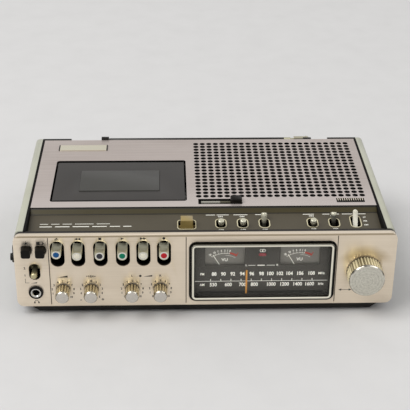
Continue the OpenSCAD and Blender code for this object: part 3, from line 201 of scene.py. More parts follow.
def makeTurned():  # rings left by a lathe
    group, takes, gives = newGroup(
        "turned",
        [("Base", "colour", (0.6, 0.6, 0.6, 1)), ("Ring", "colour", (0.5, 0.5, 0.5, 1)),
         ("Centre", "vector", (0, 0, 0)), ("Rings", "number", 3000.0), ("Low", "number", 0.25),
         ("High", "number", 0.45)],
        [("Colour", "colour"), ("Roughness", "number"), ("Height", "number"), ("Radius", "number")])
    where = placeOn(group)
    radius = aroundAxis(group, where, takes["Centre"])[1]
    line = group.nodes.new("ShaderNodeCombineXYZ")
    feed(group, line, {"X": radius})
    rings = noiseNode(group, line.outputs["Vector"], takes["Rings"], 2.0)
    cloud = noiseNode(group, where, 500.0, 3.0)
    amount = mathNode(group, "MULTIPLY", spread(group, rings, 0.0, 1.0), spread(group, cloud, 0.4, 1.0))
    return putOut(group, gives, Colour=blendColour(group, amount, takes["Base"], takes["Ring"]),
                  Roughness=spread(group, cloud, takes["Low"], takes["High"]), Height=rings, Radius=radius)


def makeFlutes():  # painted light round a grip: painted highlights on the crests, painted shade in the valleys and broad bands of painted reflection
    group, takes, gives = newGroup(
        "flutes",
        [("Crest", "colour", (0.7, 0.6, 0.4, 1)), ("Valley", "colour", (0.2, 0.15, 0.08, 1)),
         ("Centre", "vector", (0, 0, 0)), ("Inner", "number", 0.005), ("Outer", "number", 0.006),
         ("Bands", "number", 2.4)],
        [("Colour", "colour"), ("Streak", "number")])
    spoke, radius = aroundAxis(group, placeOn(group), takes["Centre"])
    bands = noiseNode(group, vectorNode(group, "NORMALIZE", spoke), takes["Bands"], 1.0)
    streak = spread(group, bands, 0.0, 1.0)
    height = mathNode(group, "DIVIDE", mathNode(group, "SUBTRACT", radius, takes["Inner"]),
                      mathNode(group, "SUBTRACT", takes["Outer"], takes["Inner"]))
    crest = clamped(group, mathNode(group, "MULTIPLY", height, spread(group, streak, 0.4, 1.1)))
    return putOut(group, gives, Colour=blendColour(group, crest, takes["Valley"], takes["Crest"]), Streak=streak)


def makeZone():  # 1 on the far side of a plane, 0 on the near side
    group, takes, gives = newGroup(
        "zone", [("Along", "vector", (0, 1, 0)), ("Edge", "number", 0.0), ("Soft", "number", 0.0002)],
        [("Mask", "number")])
    reach = vectorNode(group, "DOT_PRODUCT", placeOn(group), takes["Along"])
    step = mathNode(group, "DIVIDE", mathNode(group, "SUBTRACT", reach, takes["Edge"]), takes["Soft"])
    return putOut(group, gives, Mask=clamped(group, step))


hairline, grain, turned, flutes, zone = makeHairline(), makeGrain(), makeTurned(), makeFlutes(), makeZone()
print("shared effects made")


# finishes

def startFinish(name, metallic=0.0, coat=0.0):
    finish = bpy.data.materials.new(name)
    finish.use_nodes = True
    tree = finish.node_tree
    tree.nodes.clear()
    out = tree.nodes.new("ShaderNodeOutputMaterial")
    shader = tree.nodes.new("ShaderNodeBsdfPrincipled")
    feed(tree, shader, {"Metallic": metallic, "Coat Weight": coat, "Coat Roughness": 0.15})
    tree.links.new(shader.outputs["BSDF"], out.inputs["Surface"])
    return finish, tree, shader


def useGroup(tree, group, **values):
    node = tree.nodes.new("ShaderNodeGroup")
    node.node_tree = group
    feed(tree, node, values)
    return node.outputs


def skinOf(tree, group, look, **more):  # a shared effect with the look's base and range of roughness
    low, high = look["rough"]
    return useGroup(tree, group, Base=look["base"], Low=low, High=high, **more)


def addBump(tree, shader, height, strength, distance):
    bump = tree.nodes.new("ShaderNodeBump")
    feed(tree, bump, {"Strength": strength, "Distance": distance, "Height": height})
    feed(tree, shader, {"Normal": bump.outputs["Normal"]})


def zoneMask(tree, along, edge, soft=0.05 * mm):
    return useGroup(tree, zone, Along=along, Edge=edge, Soft=soft)["Mask"]


def cutMask(tree, zones):  # 1 where all the zones hold
    cut = None
    for along, edge in zones:
        mask = zoneMask(tree, along, edge)
        cut = mathNode(tree, "MULTIPLY", cut, mask) if cut else mask
    return cut


def between(low, high, axes):  # zones that hold between two corners
    zones = []
    for axis in axes:
        zones += [(axis, Vector(axis).dot(low)), (tuple(-a for a in axis), -Vector(axis).dot(high))]
    return zones


def fadeColour(tree, colour, fades):  # paint that comes in softly along a direction, up to a share
    for along, edge, soft, paint, share in fades:
        amount = mathNode(tree, "MULTIPLY", zoneMask(tree, along, edge, soft), share)
        colour = blendColour(tree, amount, colour, paint)
    return colour


def fadeAbove(height, soft, paint, share):  # such a fade above a height in mm
    return (upward, height * mm, soft * mm, paint, share)


def fadeBelow(height, soft, paint, share):
    return (downward, -height * mm, soft * mm, paint, share)


def tinted(tree, colour, gripReflection):  # a painted reflection of a knob's grip: a soft tan patch above the knob
    centre, soft = gripReflection["centre"], gripReflection["soft"]
    around = useGroup(tree, turned, Centre=centre)["Radius"]
    near = clamped(tree, mathNode(tree, "DIVIDE", mathNode(tree, "SUBTRACT", gripReflection["reach"], around), soft))
    above = zoneMask(tree, upward, centre[2] + gripReflection["from"], soft)
    share = mathNode(tree, "MULTIPLY", mathNode(tree, "MULTIPLY", near, above), gripReflection["share"])
    return blendColour(tree, share, colour, gripReflection["paint"])


def brushedFinish(name, look, cutZones=(), bendZones=(), fades=()):  # cut walls get painted shade, a bend gets a painted dark reflection
    metallic = look.get("metallic", 0.8)
    finish, tree, shader = startFinish(name, metallic)
    skin = skinOf(tree, hairline, look, Streak=look["streak"], Stretch=look["stretch"])
    colour = fadeColour(tree, skin["Colour"], fades)
    if "gripReflection" in look:
        colour = tinted(tree, colour, look["gripReflection"])
    if bendZones:
        colour = blendColour(tree, cutMask(tree, bendZones), colour, look["bend"])
    if cutZones:
        cut = cutMask(tree, cutZones)
        colour = blendColour(tree, cut, colour, look["cut"])
        metal = mathNode(tree, "MULTIPLY", mathNode(tree, "SUBTRACT", 1.0, cut), metallic)
        feed(tree, shader, {"Metallic": metal})
    feed(tree, shader, {"Base Color": colour, "Roughness": skin["Roughness"], "Anisotropic": look.get("smear", 0.0),
                        "Anisotropic Rotation": 0.25})  # the scratches run sideways, so light smears upwards
    addBump(tree, shader, skin["Height"], look.get("bump", 0.25), 0.05 * mm)
    return finish


def grainFinish(name, look, cutZones=(), fades=()):
    finish, tree, shader = startFinish(name, look.get("metallic", 0.0), look.get("coat", 0.0))
    skin = skinOf(tree, grain, look, Patch=look["patch"], Fineness=look.get("fineness", 1800.0))
    colour = fadeColour(tree, skin["Colour"], fades)
    if cutZones:
        colour = blendColour(tree, cutMask(tree, cutZones), colour, look["cut"])
    feed(tree, shader, {"Base Color": colour, "Roughness": skin["Roughness"],
                        "Specular IOR Level": look.get("gloss", 0.5)})
    # emission: painted light on every part that uses it except the stereo lamp
    if "glow" in look:
        feed(tree, shader, {"Emission Color": colour, "Emission Strength": look["glow"]})
    if look.get("bump", 0.15):
        addBump(tree, shader, skin["Height"], look.get("bump", 0.15), 0.1 * mm)
    return finish


def knobFinish(name, look, node):  # fluted grip, polished chamfer, turned face
    low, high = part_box(node)
    centre = ((low.x + high.x) / 2, 0, (low.z + high.z) / 2)
    radius = (high.x - low.x) / 2
    finish, tree, shader = startFinish(name, 1.0)
    face = skinOf(tree, turned, look, Ring=look["ring"], Centre=centre, Rings=look["rings"])
    grip = useGroup(tree, flutes, Crest=look["crest"], Valley=look["valley"], Centre=centre, Bands=look["bands"],
                    Inner=radius - look["flute"] * mm, Outer=radius - look["crestFlat"] * mm)
    chamfer = mathNode(tree, "GREATER_THAN", face["Radius"], radius - look["chamfer"] * mm)
    behind = zoneMask(tree, toBack, low.y + look["capDepth"] * mm, 0.1 * mm)
    # painted reflection: the polished chamfer gets bright and dark bands from the grip's streaks
    shine = blendColour(tree, grip["Streak"], look["dark"], look["polish"])
    front = blendColour(tree, chamfer, face["Colour"], shine)
    # painted shade where the grip meets the panel
    foot = zoneMask(tree, toBack, panelLow.y - look["foot"] * mm, look["footSoft"] * mm)
    gripColour = blendColour(tree, foot, grip["Colour"], look["valley"])
    frontRough = blendNumber(tree, chamfer, face["Roughness"], look["chamferRough"])
    feed(tree, shader, {"Base Color": blendColour(tree, behind, front, gripColour),
                        "Roughness": blendNumber(tree, behind, frontRough, look["gripRough"])})
    if look["gripMetal"] < 1.0:
        feed(tree, shader, {"Metallic": blendNumber(tree, behind, 1.0, look["gripMetal"])})
    addBump(tree, shader, face["Height"], look["bump"], 0.04 * mm)
    return finish


edgeLook = {"weld": 0.002, "segments": 2, "sharp": 40}


def smooth(piece):
    piece.data.polygons.foreach_set("use_smooth", [True] * len(piece.data.polygons))


def softenEdges(piece, width):
    smooth(piece)
    weld = piece.modifiers.new("weld", "WELD")
    weld.merge_threshold = edgeLook["weld"] * mm
    bevel = piece.modifiers.new("edge", "BEVEL")
    bevel.width = width * mm
    bevel.segments = edgeLook["segments"]
    bevel.limit_method = "ANGLE"
    bevel.angle_limit = math.radians(edgeLook["sharp"])
    bevel.harden_normals = True


def dress(finish, *names, edge=0.0):  # finish of CAD nodes, and the width of their soft edges
    for name in names:
        data = nodes[name].data
        data.materials.clear()
        data.materials.append(finish)
        if edge:
            softenEdges(nodes[name], edge)


# pieces that are built here

def buildPiece(name, points, faces, finish, body, slot):
    data = bpy.data.meshes.new(name)
    data.from_pydata([tuple(p) for p in points], [], faces)
    data.validate()
    data.update()
    data.materials.append(finish)
    piece = bpy.data.objects.new(name, data)
    bpy.context.scene.collection.objects.link(piece)
    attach(piece, body)
    return piece


def roundedOutline(width, depth, radius, steps=6):
    points = []
    for sx, sy, start in ((1, 1, 0), (-1, 1, 90), (-1, -1, 180), (1, -1, 270)):
        for i in range(steps + 1):
            angle = math.radians(start + 90 * i / steps)
            points.append((sx * (width / 2 - radius) + radius * math.cos(angle),
                           sy * (depth / 2 - radius) + radius * math.sin(angle)))
    return points


def circleOutline(radius, steps=32):
    return [(radius * math.cos(2 * math.pi * i / steps), radius * math.sin(2 * math.pi * i / steps))
            for i in range(steps)]


def arcOutline(radius, width, start, end, steps=16):  # a band on a circle, degrees from the top
    turns = [math.radians(start + (end - start) * i / steps) for i in range(steps + 1)]
    inner = [(radius * math.sin(turn), radius * math.cos(turn)) for turn in turns]
    outer = [((radius + width) * math.sin(turn), (radius + width) * math.cos(turn)) for turn in turns]
    return inner + outer[::-1]


def spokeOutline(u, v, start, end, half=0.2):  # a short bar that points along u, v
    return [(reach * u - side * v, reach * v + side * u)
            for reach, side in ((start, half), (start, -half), (end, -half), (end, half))]


def box(low, high):  # a plain rectangle between two corners
    return [low, (high[0], low[1]), high, (low[0], high[1])]


def scaled(outline, size):
    return [(size * u, size * v) for u, v in outline]


def mirrored(outline):
    return [(-u, v) for u, v in reversed(outline)]


def bandFaces(start, count):  # quads between two rings of points that follow each other
    return [(start + i, start + (i + 1) % count, start + count + (i + 1) % count, start + count + i)
            for i in range(count)]


def lathe(profile, lift, steps=40):  # profile of (radius, height) turned on a face
    points, faces = [], []
    for radius, height in profile:
        points += [lift(u, v, height) for u, v in circleOutline(radius, steps)]
    for k in range(len(profile) - 1):
        faces += bandFaces(k * steps, steps)
    faces.append(tuple(range(steps)))
    faces.append(tuple(range((len(profile) - 1) * steps, len(profile) * steps)))
    return points, faces


class Sheet:  # gathers flat marks and thin plates into one mesh
    def __init__(self):
        self.points, self.faces = [], []

    def outline(self, outline, lift):  # one filled outline
        start = len(self.points)
        self.points += [lift(u, v, 0.0) for u, v in outline]
        self.faces.append(tuple(range(start, start + len(outline))))

    def ring(self, outer, inner, lift, heights=(0.0, 0.0)):  # the band between two outlines of equal length
        start = len(self.points)
        self.points += [lift(u, v, heights[0]) for u, v in outer] + [lift(u, v, heights[1]) for u, v in inner]
        self.faces += bandFaces(start, len(outer))

    def plate(self, outline, thick, chamfer, lift):  # raised plate with a chamfered rim, its foot at zero
        start, count = len(self.points), len(outline)
        cu = sum(u for u, v in outline) / count
        cv = sum(v for u, v in outline) / count
        reach = max(max(abs(u - cu), abs(v - cv)) for u, v in outline)
        shrink = 1 - chamfer / reach
        top = [(cu + (u - cu) * shrink, cv + (v - cv) * shrink) for u, v in outline]
        for ring, height in ((outline, 0.0), (outline, thick - chamfer), (top, thick)):
            self.points += [lift(u, v, height) for u, v in ring]
        self.faces += bandFaces(start, count) + bandFaces(start + count, count)
        self.faces.append(tuple(range(start + 2 * count, start + 3 * count)))
        self.faces.append(tuple(reversed(range(start, start + count))))

    def words(self, text, size, lift, turn=0.0, squeeze=1.0, bold=0.0):  # figures and letters, centred on zero
        curve = bpy.data.curves.new("words", "FONT")
        curve.body, curve.size, curve.offset = text, size, bold * size
        curve.align_x, curve.align_y = "CENTER", "CENTER"
        curve.resolution_u = 3
        holder = bpy.data.objects.new("words", curve)
        data = bpy.data.meshes.new_from_object(holder)
        start = len(self.points)
        cos, sin = math.cos(turn), math.sin(turn)
        for vertex in data.vertices:
            u, v = vertex.co.x * squeeze, vertex.co.y
            self.points.append(lift(u * cos - v * sin, u * sin + v * cos, 0.0))
        self.faces += [tuple(start + i for i in face.vertices) for face in data.polygons]
        bpy.data.objects.remove(holder)
        bpy.data.meshes.remove(data)
        bpy.data.curves.remove(curve)

    def build(self, name, finish, body, slot):
        return buildPiece(name, self.points, self.faces, finish, body, slot)


def onFace(x, z, back=-0.04):  # u to the right, v up, on a face that looks at the viewer; thickness comes forward
    return lambda u, v, h: place(x + u, back - h, z + v)


def onTop(x, back, z):  # u to the right, v to the back, on a face that looks up
    return lambda u, v, h: place(x + u, back + v, z + h)


def onBack(x, z, back):  # on a face that looks to the back
    return lambda u, v, h: place(x - u, back + h, z + v)


def onUnder(x, back, z):  # on a face that looks down
    return lambda u, v, h: place(x + u, back - v, z - h)


# front panel and its controls

wheel = middle("tuning_knob")
panelLook = {"base": tone(242, 228, 208), "streak": tone(222, 207, 185), "stretch": (9, 9, 5200),
             "rough": (0.26, 0.4), "metallic": 0.75, "bump": 0.3, "smear": 0.8, "edge": 0.7,
             "cut": tone(78, 63, 47), "cutFrom": 0.25, "rim": 1.8,
             "bend": tone(176, 160, 136), "bendFrom": 1.7, "bendDeep": 0.75,
             "gap": 2.3, "gapSoft": 0.3, "gapShade": tone(40, 33, 24),
             # painted reflection of the tuning knob's grip on the panel above it
             "gripReflection": {"centre": tuple(place(wheel.x, 0, wheel.z)), "reach": 0.031, "soft": 0.008, "from": 0.009,
                      "share": 0.62, "paint": tone(186, 164, 124)}}
rim = Vector((1, 1, 1)) * panelLook["rim"] * mm
# painted shade on grooves and cut walls deeper than the face, and a painted dark reflection along the top bend
cutZones = [(toBack, panelLow.y + panelLook["cutFrom"] * mm)]
cutZones += between(panelLow + rim, panelHigh - rim, (toRight, upward))
bendZones = [(upward, (topZ - panelLook["bendFrom"]) * mm), (toFront, -panelLow.y - panelLook["bendDeep"] * mm)]
rimGap = [(toBack, panelHigh.y - panelLook["gap"] * mm, panelLook["gapSoft"] * mm,
           panelLook["gapShade"], 1.0)]  # shadow behind the rim
champagne = brushedFinish("champagneBrushed", panelLook, cutZones, bendZones, rimGap)
dress(champagne, "front_panel", edge=panelLook["edge"])

blackLook = {"base": tone(20, 18, 15), "patch": tone(28, 26, 22), "rough": (0.5, 0.66), "gloss": 0.3}
blackPlastic = grainFinish("blackPlastic", blackLook)
dress(blackPlastic, "front_frame", "bottom_case", "rear_panel", "battery_cover", edge=0.3)
dress(blackPlastic, "mic_jacks")
deepLook = {"base": tone(12, 11, 10), "patch": tone(18, 17, 16), "rough": (0.75, 0.9), "gloss": 0.15}
dress(grainFinish("deepBlack", deepLook), "speaker")

buttonLook = {"base": tone(13, 10, 6), "patch": tone(19, 15, 10), "rough": (0.3, 0.42), "gloss": 0.14}
buttonBlack = grainFinish("buttonBlack", buttonLook)
dress(buttonBlack, "light_button", "battery_button", edge=0.9)
dress(buttonBlack, "monitor_slider", edge=1.6)

# fades: height over the table, softness, paint and share
nickelLook = {"base": tone(206, 203, 182), "patch": tone(182, 178, 156), "rough": (0.14, 0.24), "metallic": 0.4,
              "bump": 0.03, "gloss": 0.8, "foot": (83.8, 4.0, tone(34, 32, 26), 0.92),
              "headFoot": (85.6, 2.2, tone(30, 28, 22), 0.95)}
leverFoot = fadeBelow(*nickelLook["foot"])  # the slot darkens a lever's foot
nickel = grainFinish("dullNickel", nickelLook, (), [leverFoot])
nickelHead = grainFinish("nickelHead", nickelLook, (), [fadeBelow(*nickelLook["headFoot"])])  # for levers that lean: painted shade over more of the lower part
steelBatLook = dict(nickelLook, base=tone(128, 127, 116), patch=tone(92, 90, 80),
                    head=(87.2, 1.2, nickelLook["base"], 1.0))  # one lever is darker all over, and its top is a painted highlight in the lighter nickel
steelBat = grainFinish("darkBat", steelBatLook, (), [leverFoot, fadeAbove(*steelBatLook["head"])])
sleeveFinish = {"tape_switch": nickelHead, "record_mode_switch": nickelHead, "noise_switch": nickel,
                "sleep_switch": nickelHead, "afc_switch": steelBat}
dress(nickel, *sleeveFinish)
leverLook = {"base": tone(200, 192, 156), "patch": tone(168, 158, 118), "rough": (0.24, 0.38), "metallic": 0.8,
             "bump": 0.05}
dress(grainFinish("paleLever", leverLook), "level_switch", edge=0.5)

keyLook = {"base": tone(196, 192, 164), "streak": tone(156, 152, 122), "stretch": (60, 1500, 60),
           "rough": (0.26, 0.4), "metallic": 0.9, "bump": 0.2,
           "light": (topZ - 6.5, 4.0, tone(224, 221, 200), 0.25), "dim": (topZ - 9.5, 5.0, tone(74, 68, 46), 0.85)}
keyDiscs = {"eject_key": (tone(20, 86, 140), tone(14, 70, 120)),
            "rewind_key": (tone(236, 232, 214), tone(222, 216, 196)),
            "stop_key": (tone(50, 51, 58), tone(38, 38, 44)),
            "play_key": (tone(10, 122, 92), tone(6, 102, 76)),
            "forward_key": (tone(236, 232, 214), tone(222, 216, 196)),
            "record_key": (tone(190, 36, 44), tone(168, 26, 34))}
keyFades = [fadeBelow(*keyLook["light"]), fadeAbove(*keyLook["dim"])]  # painted highlight by the disc, painted shade under the slot's end
dress(brushedFinish("keyMetal", keyLook, (), (), keyFades), *keyDiscs, edge=0.5)

discLook = {"drop": 14.1, "rough": (0.3, 0.45), "gloss": 0.2, "bump": 0.05,  # profiles of radius and height
            "disc": [(2.8, -0.5), (2.8, 0.0), (2.55, 0.15), (2.1, 0.25), (0.6, 0.35)],
            "rim": [(4.0, 0.0), (3.7, 0.16), (3.1, 0.16), (2.9, 0.0)]}
rimLook = {"base": tone(236, 234, 226), "patch": tone(220, 217, 206), "rough": (0.2, 0.3), "metallic": 0.6,
           "bump": 0.02}
discRim = grainFinish("discRim", rimLook)
for name, (base, patch) in keyDiscs.items():
    face = onFace(middle(name).x, topZ - discLook["drop"], tipOf(name))
    finish = grainFinish(name + "Disc", dict(discLook, base=base, patch=patch))
    buildPiece(name + "_disc", *lathe(discLook["disc"], face), finish, name, "ivory")
    discRing = Sheet()
    for (outer, foot), (inner, top) in zip(discLook["rim"], discLook["rim"][1:]):
        discRing.ring(circleOutline(outer), circleOutline(inner), face, (foot, top))
    discRing.build(name + "_rim", discRim, name, "key_metal")

signLook = {"base": tone(32, 28, 24), "patch": tone(44, 39, 34), "rough": (0.5, 0.6), "bump": 0.0, "height": 2.7,
            "drop": 3.3, "apart": 1.45, "long": 1.15, "dot": 1.05}
panelInk = Sheet()
half, apart = signLook["height"] / 2, signLook["apart"]
tip = half * signLook["long"]
triangle = [(-tip, -half), (tip, 0), (-tip, half)]
keySigns = {"eject_key": [(0, [(-1.9, -0.2), (1.9, -0.2), (0, 1.5)]), (0, box((-1.9, -1.3), (1.9, -0.7)))],
            "rewind_key": [(-apart, mirrored(triangle)), (apart, mirrored(triangle))],
            "stop_key": [(0, box((-half, -half), (half, half)))],
            "play_key": [(0, triangle)],
            "forward_key": [(-apart, triangle), (apart, triangle)],
            "record_key": [(0, circleOutline(half * signLook["dot"], 24))]}
for name, signs in keySigns.items():
    for side, sign in signs:
        panelInk.outline(sign, onFace(middle(name).x + side, topZ - signLook["drop"]))

knobNodes = ["speaker_volume_knob", "tone_knob", "record_left_knob", "record_right_knob"]
loudSpot, toneSpot, leftSpot, rightSpot = (middle(name) for name in knobNodes)
knobLook = {"base": tone(216, 211, 203), "ring": tone(190, 185, 177), "rings": 4200.0, "rough": (0.4, 0.55),
            "bump": 0.15, "crest": tone(244, 232, 194), "valley": tone(70, 56, 26), "flute": 0.6, "crestFlat": 0.25,
            "bands": 3.4, "gripRough": 0.2, "gripMetal": 1.0, "foot": 2.2, "footSoft": 1.54, "chamfer": 1.0,
            "chamferRough": 0.12, "capDepth": 2.3, "polish": tone(246, 242, 230), "dark": tone(110, 98, 72)}
dialRing = {"radius": 10.6, "drop": 1.0, "figure": 3.2, "squeeze": 0.85, "bold": 0.04, "from": -135, "sweep": 270}
for name in knobNodes:
    spot = middle(name)
    dress(knobFinish(name + "Metal", knobLook, name), name, edge=0.12)
    for n in range(11):
        figure = abs(n - 5) if name == "tone_knob" else n  # the tone runs from the middle to both sides
        turn = math.radians(dialRing["from"] + dialRing["sweep"] * n / 10)
        figureSpot = onFace(spot.x + dialRing["radius"] * math.sin(turn),
                            spot.z - dialRing["drop"] + dialRing["radius"] * math.cos(turn))
        panelInk.words(str(figure), dialRing["figure"], figureSpot, 0.0, dialRing["squeeze"], dialRing["bold"])

tuningLook = dict(knobLook, base=tone(228, 225, 213), ring=tone(158, 155, 143), rings=1600.0, rough=(0.42, 0.58),
                  bump=0.2, crest=tone(255, 246, 208), valley=tone(84, 68, 28), flute=0.85, bands=3.0,
                  gripRough=0.22, gripMetal=0.55, foot=1.8, footSoft=1.26, polish=tone(248, 243, 230),
                  dark=tone(70, 62, 46))
dress(knobFinish("tuningMetal", tuningLook, "tuning_knob"), "tuning_knob", edge=0.15)

# signs over the knobs: wedge for loudness, bars for tone, letters for the two sides, dot and wedge for recording
markLook = {"rise": 15.0, "letter": 3.4, "letterBold": 0.02, "bars": (1.2, 2.0, 2.8, 2.0, 1.2), "barStep": 1.9,
            "barHalf": 0.5, "sign": 4.6, "signBold": 0.04, "signSide": 10.6, "signDrop": 11.6, "dot": 1.25,
            "dotSide": -5.6, "wedgeSide": 1.6, "wedgeSize": 0.85}
wedge = [(-5.0, -1.0), (5.0, -1.0), (5.0, 1.1)]
markZ = toneSpot.z + markLook["rise"]
panelInk.outline(wedge, onFace(loudSpot.x, markZ))
for spot, letter in ((leftSpot, "L"), (rightSpot, "R")):
    panelInk.words(letter, markLook["letter"], onFace(spot.x, markZ), bold=markLook["letterBold"])
for n, height in enumerate(markLook["bars"]):
    barX = markLook["barStep"] * (n - 2)
    panelInk.outline(box((barX - markLook["barHalf"], -height / 2), (barX + markLook["barHalf"], height / 2)),
                     onFace(toneSpot.x, markZ))
for side, sign in ((-markLook["signSide"], "-"), (markLook["signSide"], "+")):
    panelInk.words(sign, markLook["sign"], onFace(toneSpot.x + side, toneSpot.z - markLook["signDrop"]),
                   bold=markLook["signBold"])
recordMid = (leftSpot.x + rightSpot.x) / 2
panelInk.outline(circleOutline(markLook["dot"], 20), onFace(recordMid + markLook["dotSide"], markZ))
panelInk.outline(scaled(wedge, markLook["wedgeSize"]), onFace(recordMid + markLook["wedgeSide"], markZ))

levelMarks = {"side": -9.4, "figure": 3.2, "bold": 0.04, "step": 4.0, "wedgeSide": -1.4, "wedgeDrop": 12.3,
              "wedgeSize": 0.6, "bracket": [box((-0.2, -12.5), (0.2, -7.5)), box((0.2, -12.5), (3.6, -12.1))]}
level = middle("level_switch")
for figure, rise in (("2", levelMarks["step"]), ("1", -levelMarks["step"])):
    panelInk.words(figure, levelMarks["figure"], onFace(level.x + levelMarks["side"], level.z + rise),
                   bold=levelMarks["bold"])
for part in levelMarks["bracket"]:
    panelInk.outline(part, onFace(level.x + levelMarks["side"], level.z))
panelInk.outline(scaled(wedge, levelMarks["wedgeSize"]),
                 onFace(level.x + levelMarks["wedgeSide"], level.z - levelMarks["wedgeDrop"]))

iconLook = {"rise": 7.6, "size": 1.35, "lamp": 0.9, "rayFrom": 1.2, "rayTo": 1.9, "drop": 11.4, "bow": 2.2,
            "bowInside": 0.78, "cell": box((-2.6, -1.3), (2.0, 1.3)), "cellInside": box((-2.2, -0.9), (1.6, 0.9)),
            "cellParts": [box((2.0, -0.6), (2.7, 0.6)), box((-2.2, -0.9), (-0.2, 0.9))],
            "ears": [box((-2.7, -1.4), (-1.3, 0.3)), box((1.3, -1.4), (2.7, 0.3))]}
bulb, cell, jack = middle("light_button"), middle("battery_button"), middle("headphone_jack")
bulbSpot = onFace(bulb.x, bulb.z + iconLook["rise"])  # round lamp with rays
panelInk.outline(circleOutline(iconLook["lamp"] * iconLook["size"], 16), bulbSpot)
for k in range(8):
    ray = spokeOutline(math.cos(k * math.pi / 4), math.sin(k * math.pi / 4), iconLook["rayFrom"], iconLook["rayTo"])
    panelInk.outline(scaled(ray, iconLook["size"]), bulbSpot)
cellSpot = onFace(cell.x, cell.z + iconLook["rise"])  # dry cell
panelInk.ring(scaled(iconLook["cell"], iconLook["size"]), scaled(iconLook["cellInside"], iconLook["size"]), cellSpot)
for part in iconLook["cellParts"]:
    panelInk.outline(scaled(part, iconLook["size"]), cellSpot)
earSpot = onFace(jack.x, jack.z - iconLook["drop"])  # headphones
bow = [(iconLook["bow"] * math.cos(a * math.pi / 12), iconLook["bow"] * math.sin(a * math.pi / 12)) for a in range(13)]
for part in [bow + scaled(bow[::-1], iconLook["bowInside"])] + iconLook["ears"]:
    panelInk.outline(part, earSpot)

arrowLook = {"side": -17.6, "drop": 20.2, "reach": 4.6, "half": 0.25, "head": 5.0, "headSize": 0.9}
arrowSpot = onFace(wheel.x + arrowLook["side"], wheel.z - arrowLook["drop"])  # arrow with two heads
panelInk.outline(box((-arrowLook["reach"], -arrowLook["half"]), (arrowLook["reach"], arrowLook["half"])), arrowSpot)
for side, head in ((-arrowLook["head"], mirrored(triangle)), (arrowLook["head"], triangle)):
    panelInk.outline([(u + side, v) for u, v in scaled(head, arrowLook["headSize"])], arrowSpot)
panelInk.build("panel_marks", grainFinish("panelInk", signLook), "case", "black_plastic")

jackLook = {"nut": tone(16, 14, 12), "base": tone(222, 220, 214), "ring": tone(190, 188, 182), "rings": 3000.0,
            "rough": (0.15, 0.3), "bore": tone(58, 53, 38), "edge": 4.9, "boreEdge": 3.1, "gloss": 0.15}


def jackFinish(look):  # dark ring nut round a bright neck with a dark bore
    finish, tree, shader = startFinish("jackMetal")
    rings = skinOf(tree, turned, look, Ring=look["ring"], Rings=look["rings"],
                   Centre=tuple(place(jack.x, 0, jack.z)))
    outside = mathNode(tree, "GREATER_THAN", rings["Radius"], look["edge"] * mm)
    inside = mathNode(tree, "LESS_THAN", rings["Radius"], look["boreEdge"] * mm)
    colour = blendColour(tree, outside, rings["Colour"], look["nut"])
    metal = mathNode(tree, "SUBTRACT", 1.0, mathNode(tree, "MAXIMUM", outside, inside))
    feed(tree, shader, {"Base Color": blendColour(tree, inside, colour, look["bore"]), "Metallic": metal,
                        "Roughness": rings["Roughness"], "Specular IOR Level": look["gloss"]})
    return finish


dress(jackFinish(jackLook), "headphone_jack")
print("front controls dressed")

# dial

ivoryLook = {"base": tone(240, 237, 221), "patch": tone(228, 223, 204), "rough": (0.24, 0.36), "gloss": 0.4}
dress(grainFinish("ivoryGloss", ivoryLook), "band_switch", edge=0.6)
lipLook = dict(ivoryLook, base=tone(238, 234, 217), patch=tone(224, 219, 201), cut=tone(24, 20, 12), lip=0.25,
               inset=0.1, line=0.7, corner=4.8, proud=0.03)  # only the lip is pale; its walls get painted shade, and the dark outer line is painted shadow of the gap round the frame
lipZone = [(toBack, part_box("dial_frame")[0].y + lipLook["lip"] * mm)]
dress(grainFinish("dialLip", lipLook, lipZone), "dial_frame", edge=0.3)
lipLow, lipHigh = (fromFace(corner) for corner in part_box("dial_frame"))
lipWide, lipTall = lipHigh.x - lipLow.x - lipLook["inset"], lipHigh.z - lipLow.z - lipLook["inset"]
lipLine, lipCorner = lipLook["line"], lipLook["corner"]
# a black ring round the lip's outer edge: painted shadow of the gap round the frame
lipEdge = Sheet()
lipEdge.ring(roundedOutline(lipWide, lipTall, lipCorner),
             roundedOutline(lipWide - 2 * lipLine, lipTall - 2 * lipLine, lipCorner - lipLine),
             onFace((lipLow.x + lipHigh.x) / 2, (lipLow.z + lipHigh.z) / 2, lipLow.y - lipLook["proud"]))
lipEdge.build("dial_lip_edge", blackPlastic, "case", "black_plastic")

scaleLook = {"base": tone(72, 69, 63), "patch": tone(80, 76, 70), "rough": (0.4, 0.5), "gloss": 0.3}
dress(grainFinish("scaleGrey", scaleLook), "dial_plate")
meterLook = {"base": tone(143, 140, 131), "patch": tone(154, 150, 141), "rough": (0.4, 0.55)}
dress(grainFinish("meterGrey", meterLook), "vu_meters")
needleLook = {"base": tone(238, 236, 226), "patch": tone(226, 224, 212), "rough": (0.35, 0.5), "bump": 0.0}
paleInk = grainFinish("paleInk", needleLook)
# painted light: the needles and the dial's print glow though they are no lamp
paintedGlowInk = grainFinish("paintedGlowInk", dict(needleLook, glow=0.45))
dress(paintedGlowInk, "left_needle", "right_needle")
# the pointer's glow is painted light
pointerLook = {"base": tone(236, 168, 70), "patch": tone(220, 146, 48), "rough": (0.3, 0.45), "cut": tone(20, 18, 15),
               "blade": 1.0, "glow": 0.15}
bladeZone = [(toBack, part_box("dial_pointer")[0].y + pointerLook["blade"] * mm)]  # its carriage is dark
dress(grainFinish("orangePointer", pointerLook, bladeZone), "dial_pointer")

paneLook = {"base": tone(150, 148, 140), "alpha": 0.07, "fineness": 60.0, "rough": (0.04, 0.09)}


def paneFinish(look):
    finish, tree, shader = startFinish("clearPane")
    skin = skinOf(tree, grain, look, Fineness=look["fineness"])
    feed(tree, shader, {"Base Color": look["base"], "Roughness": skin["Roughness"], "Alpha": look["alpha"]})
    return finish


dress(paneFinish(paneLook), "dial_glass")

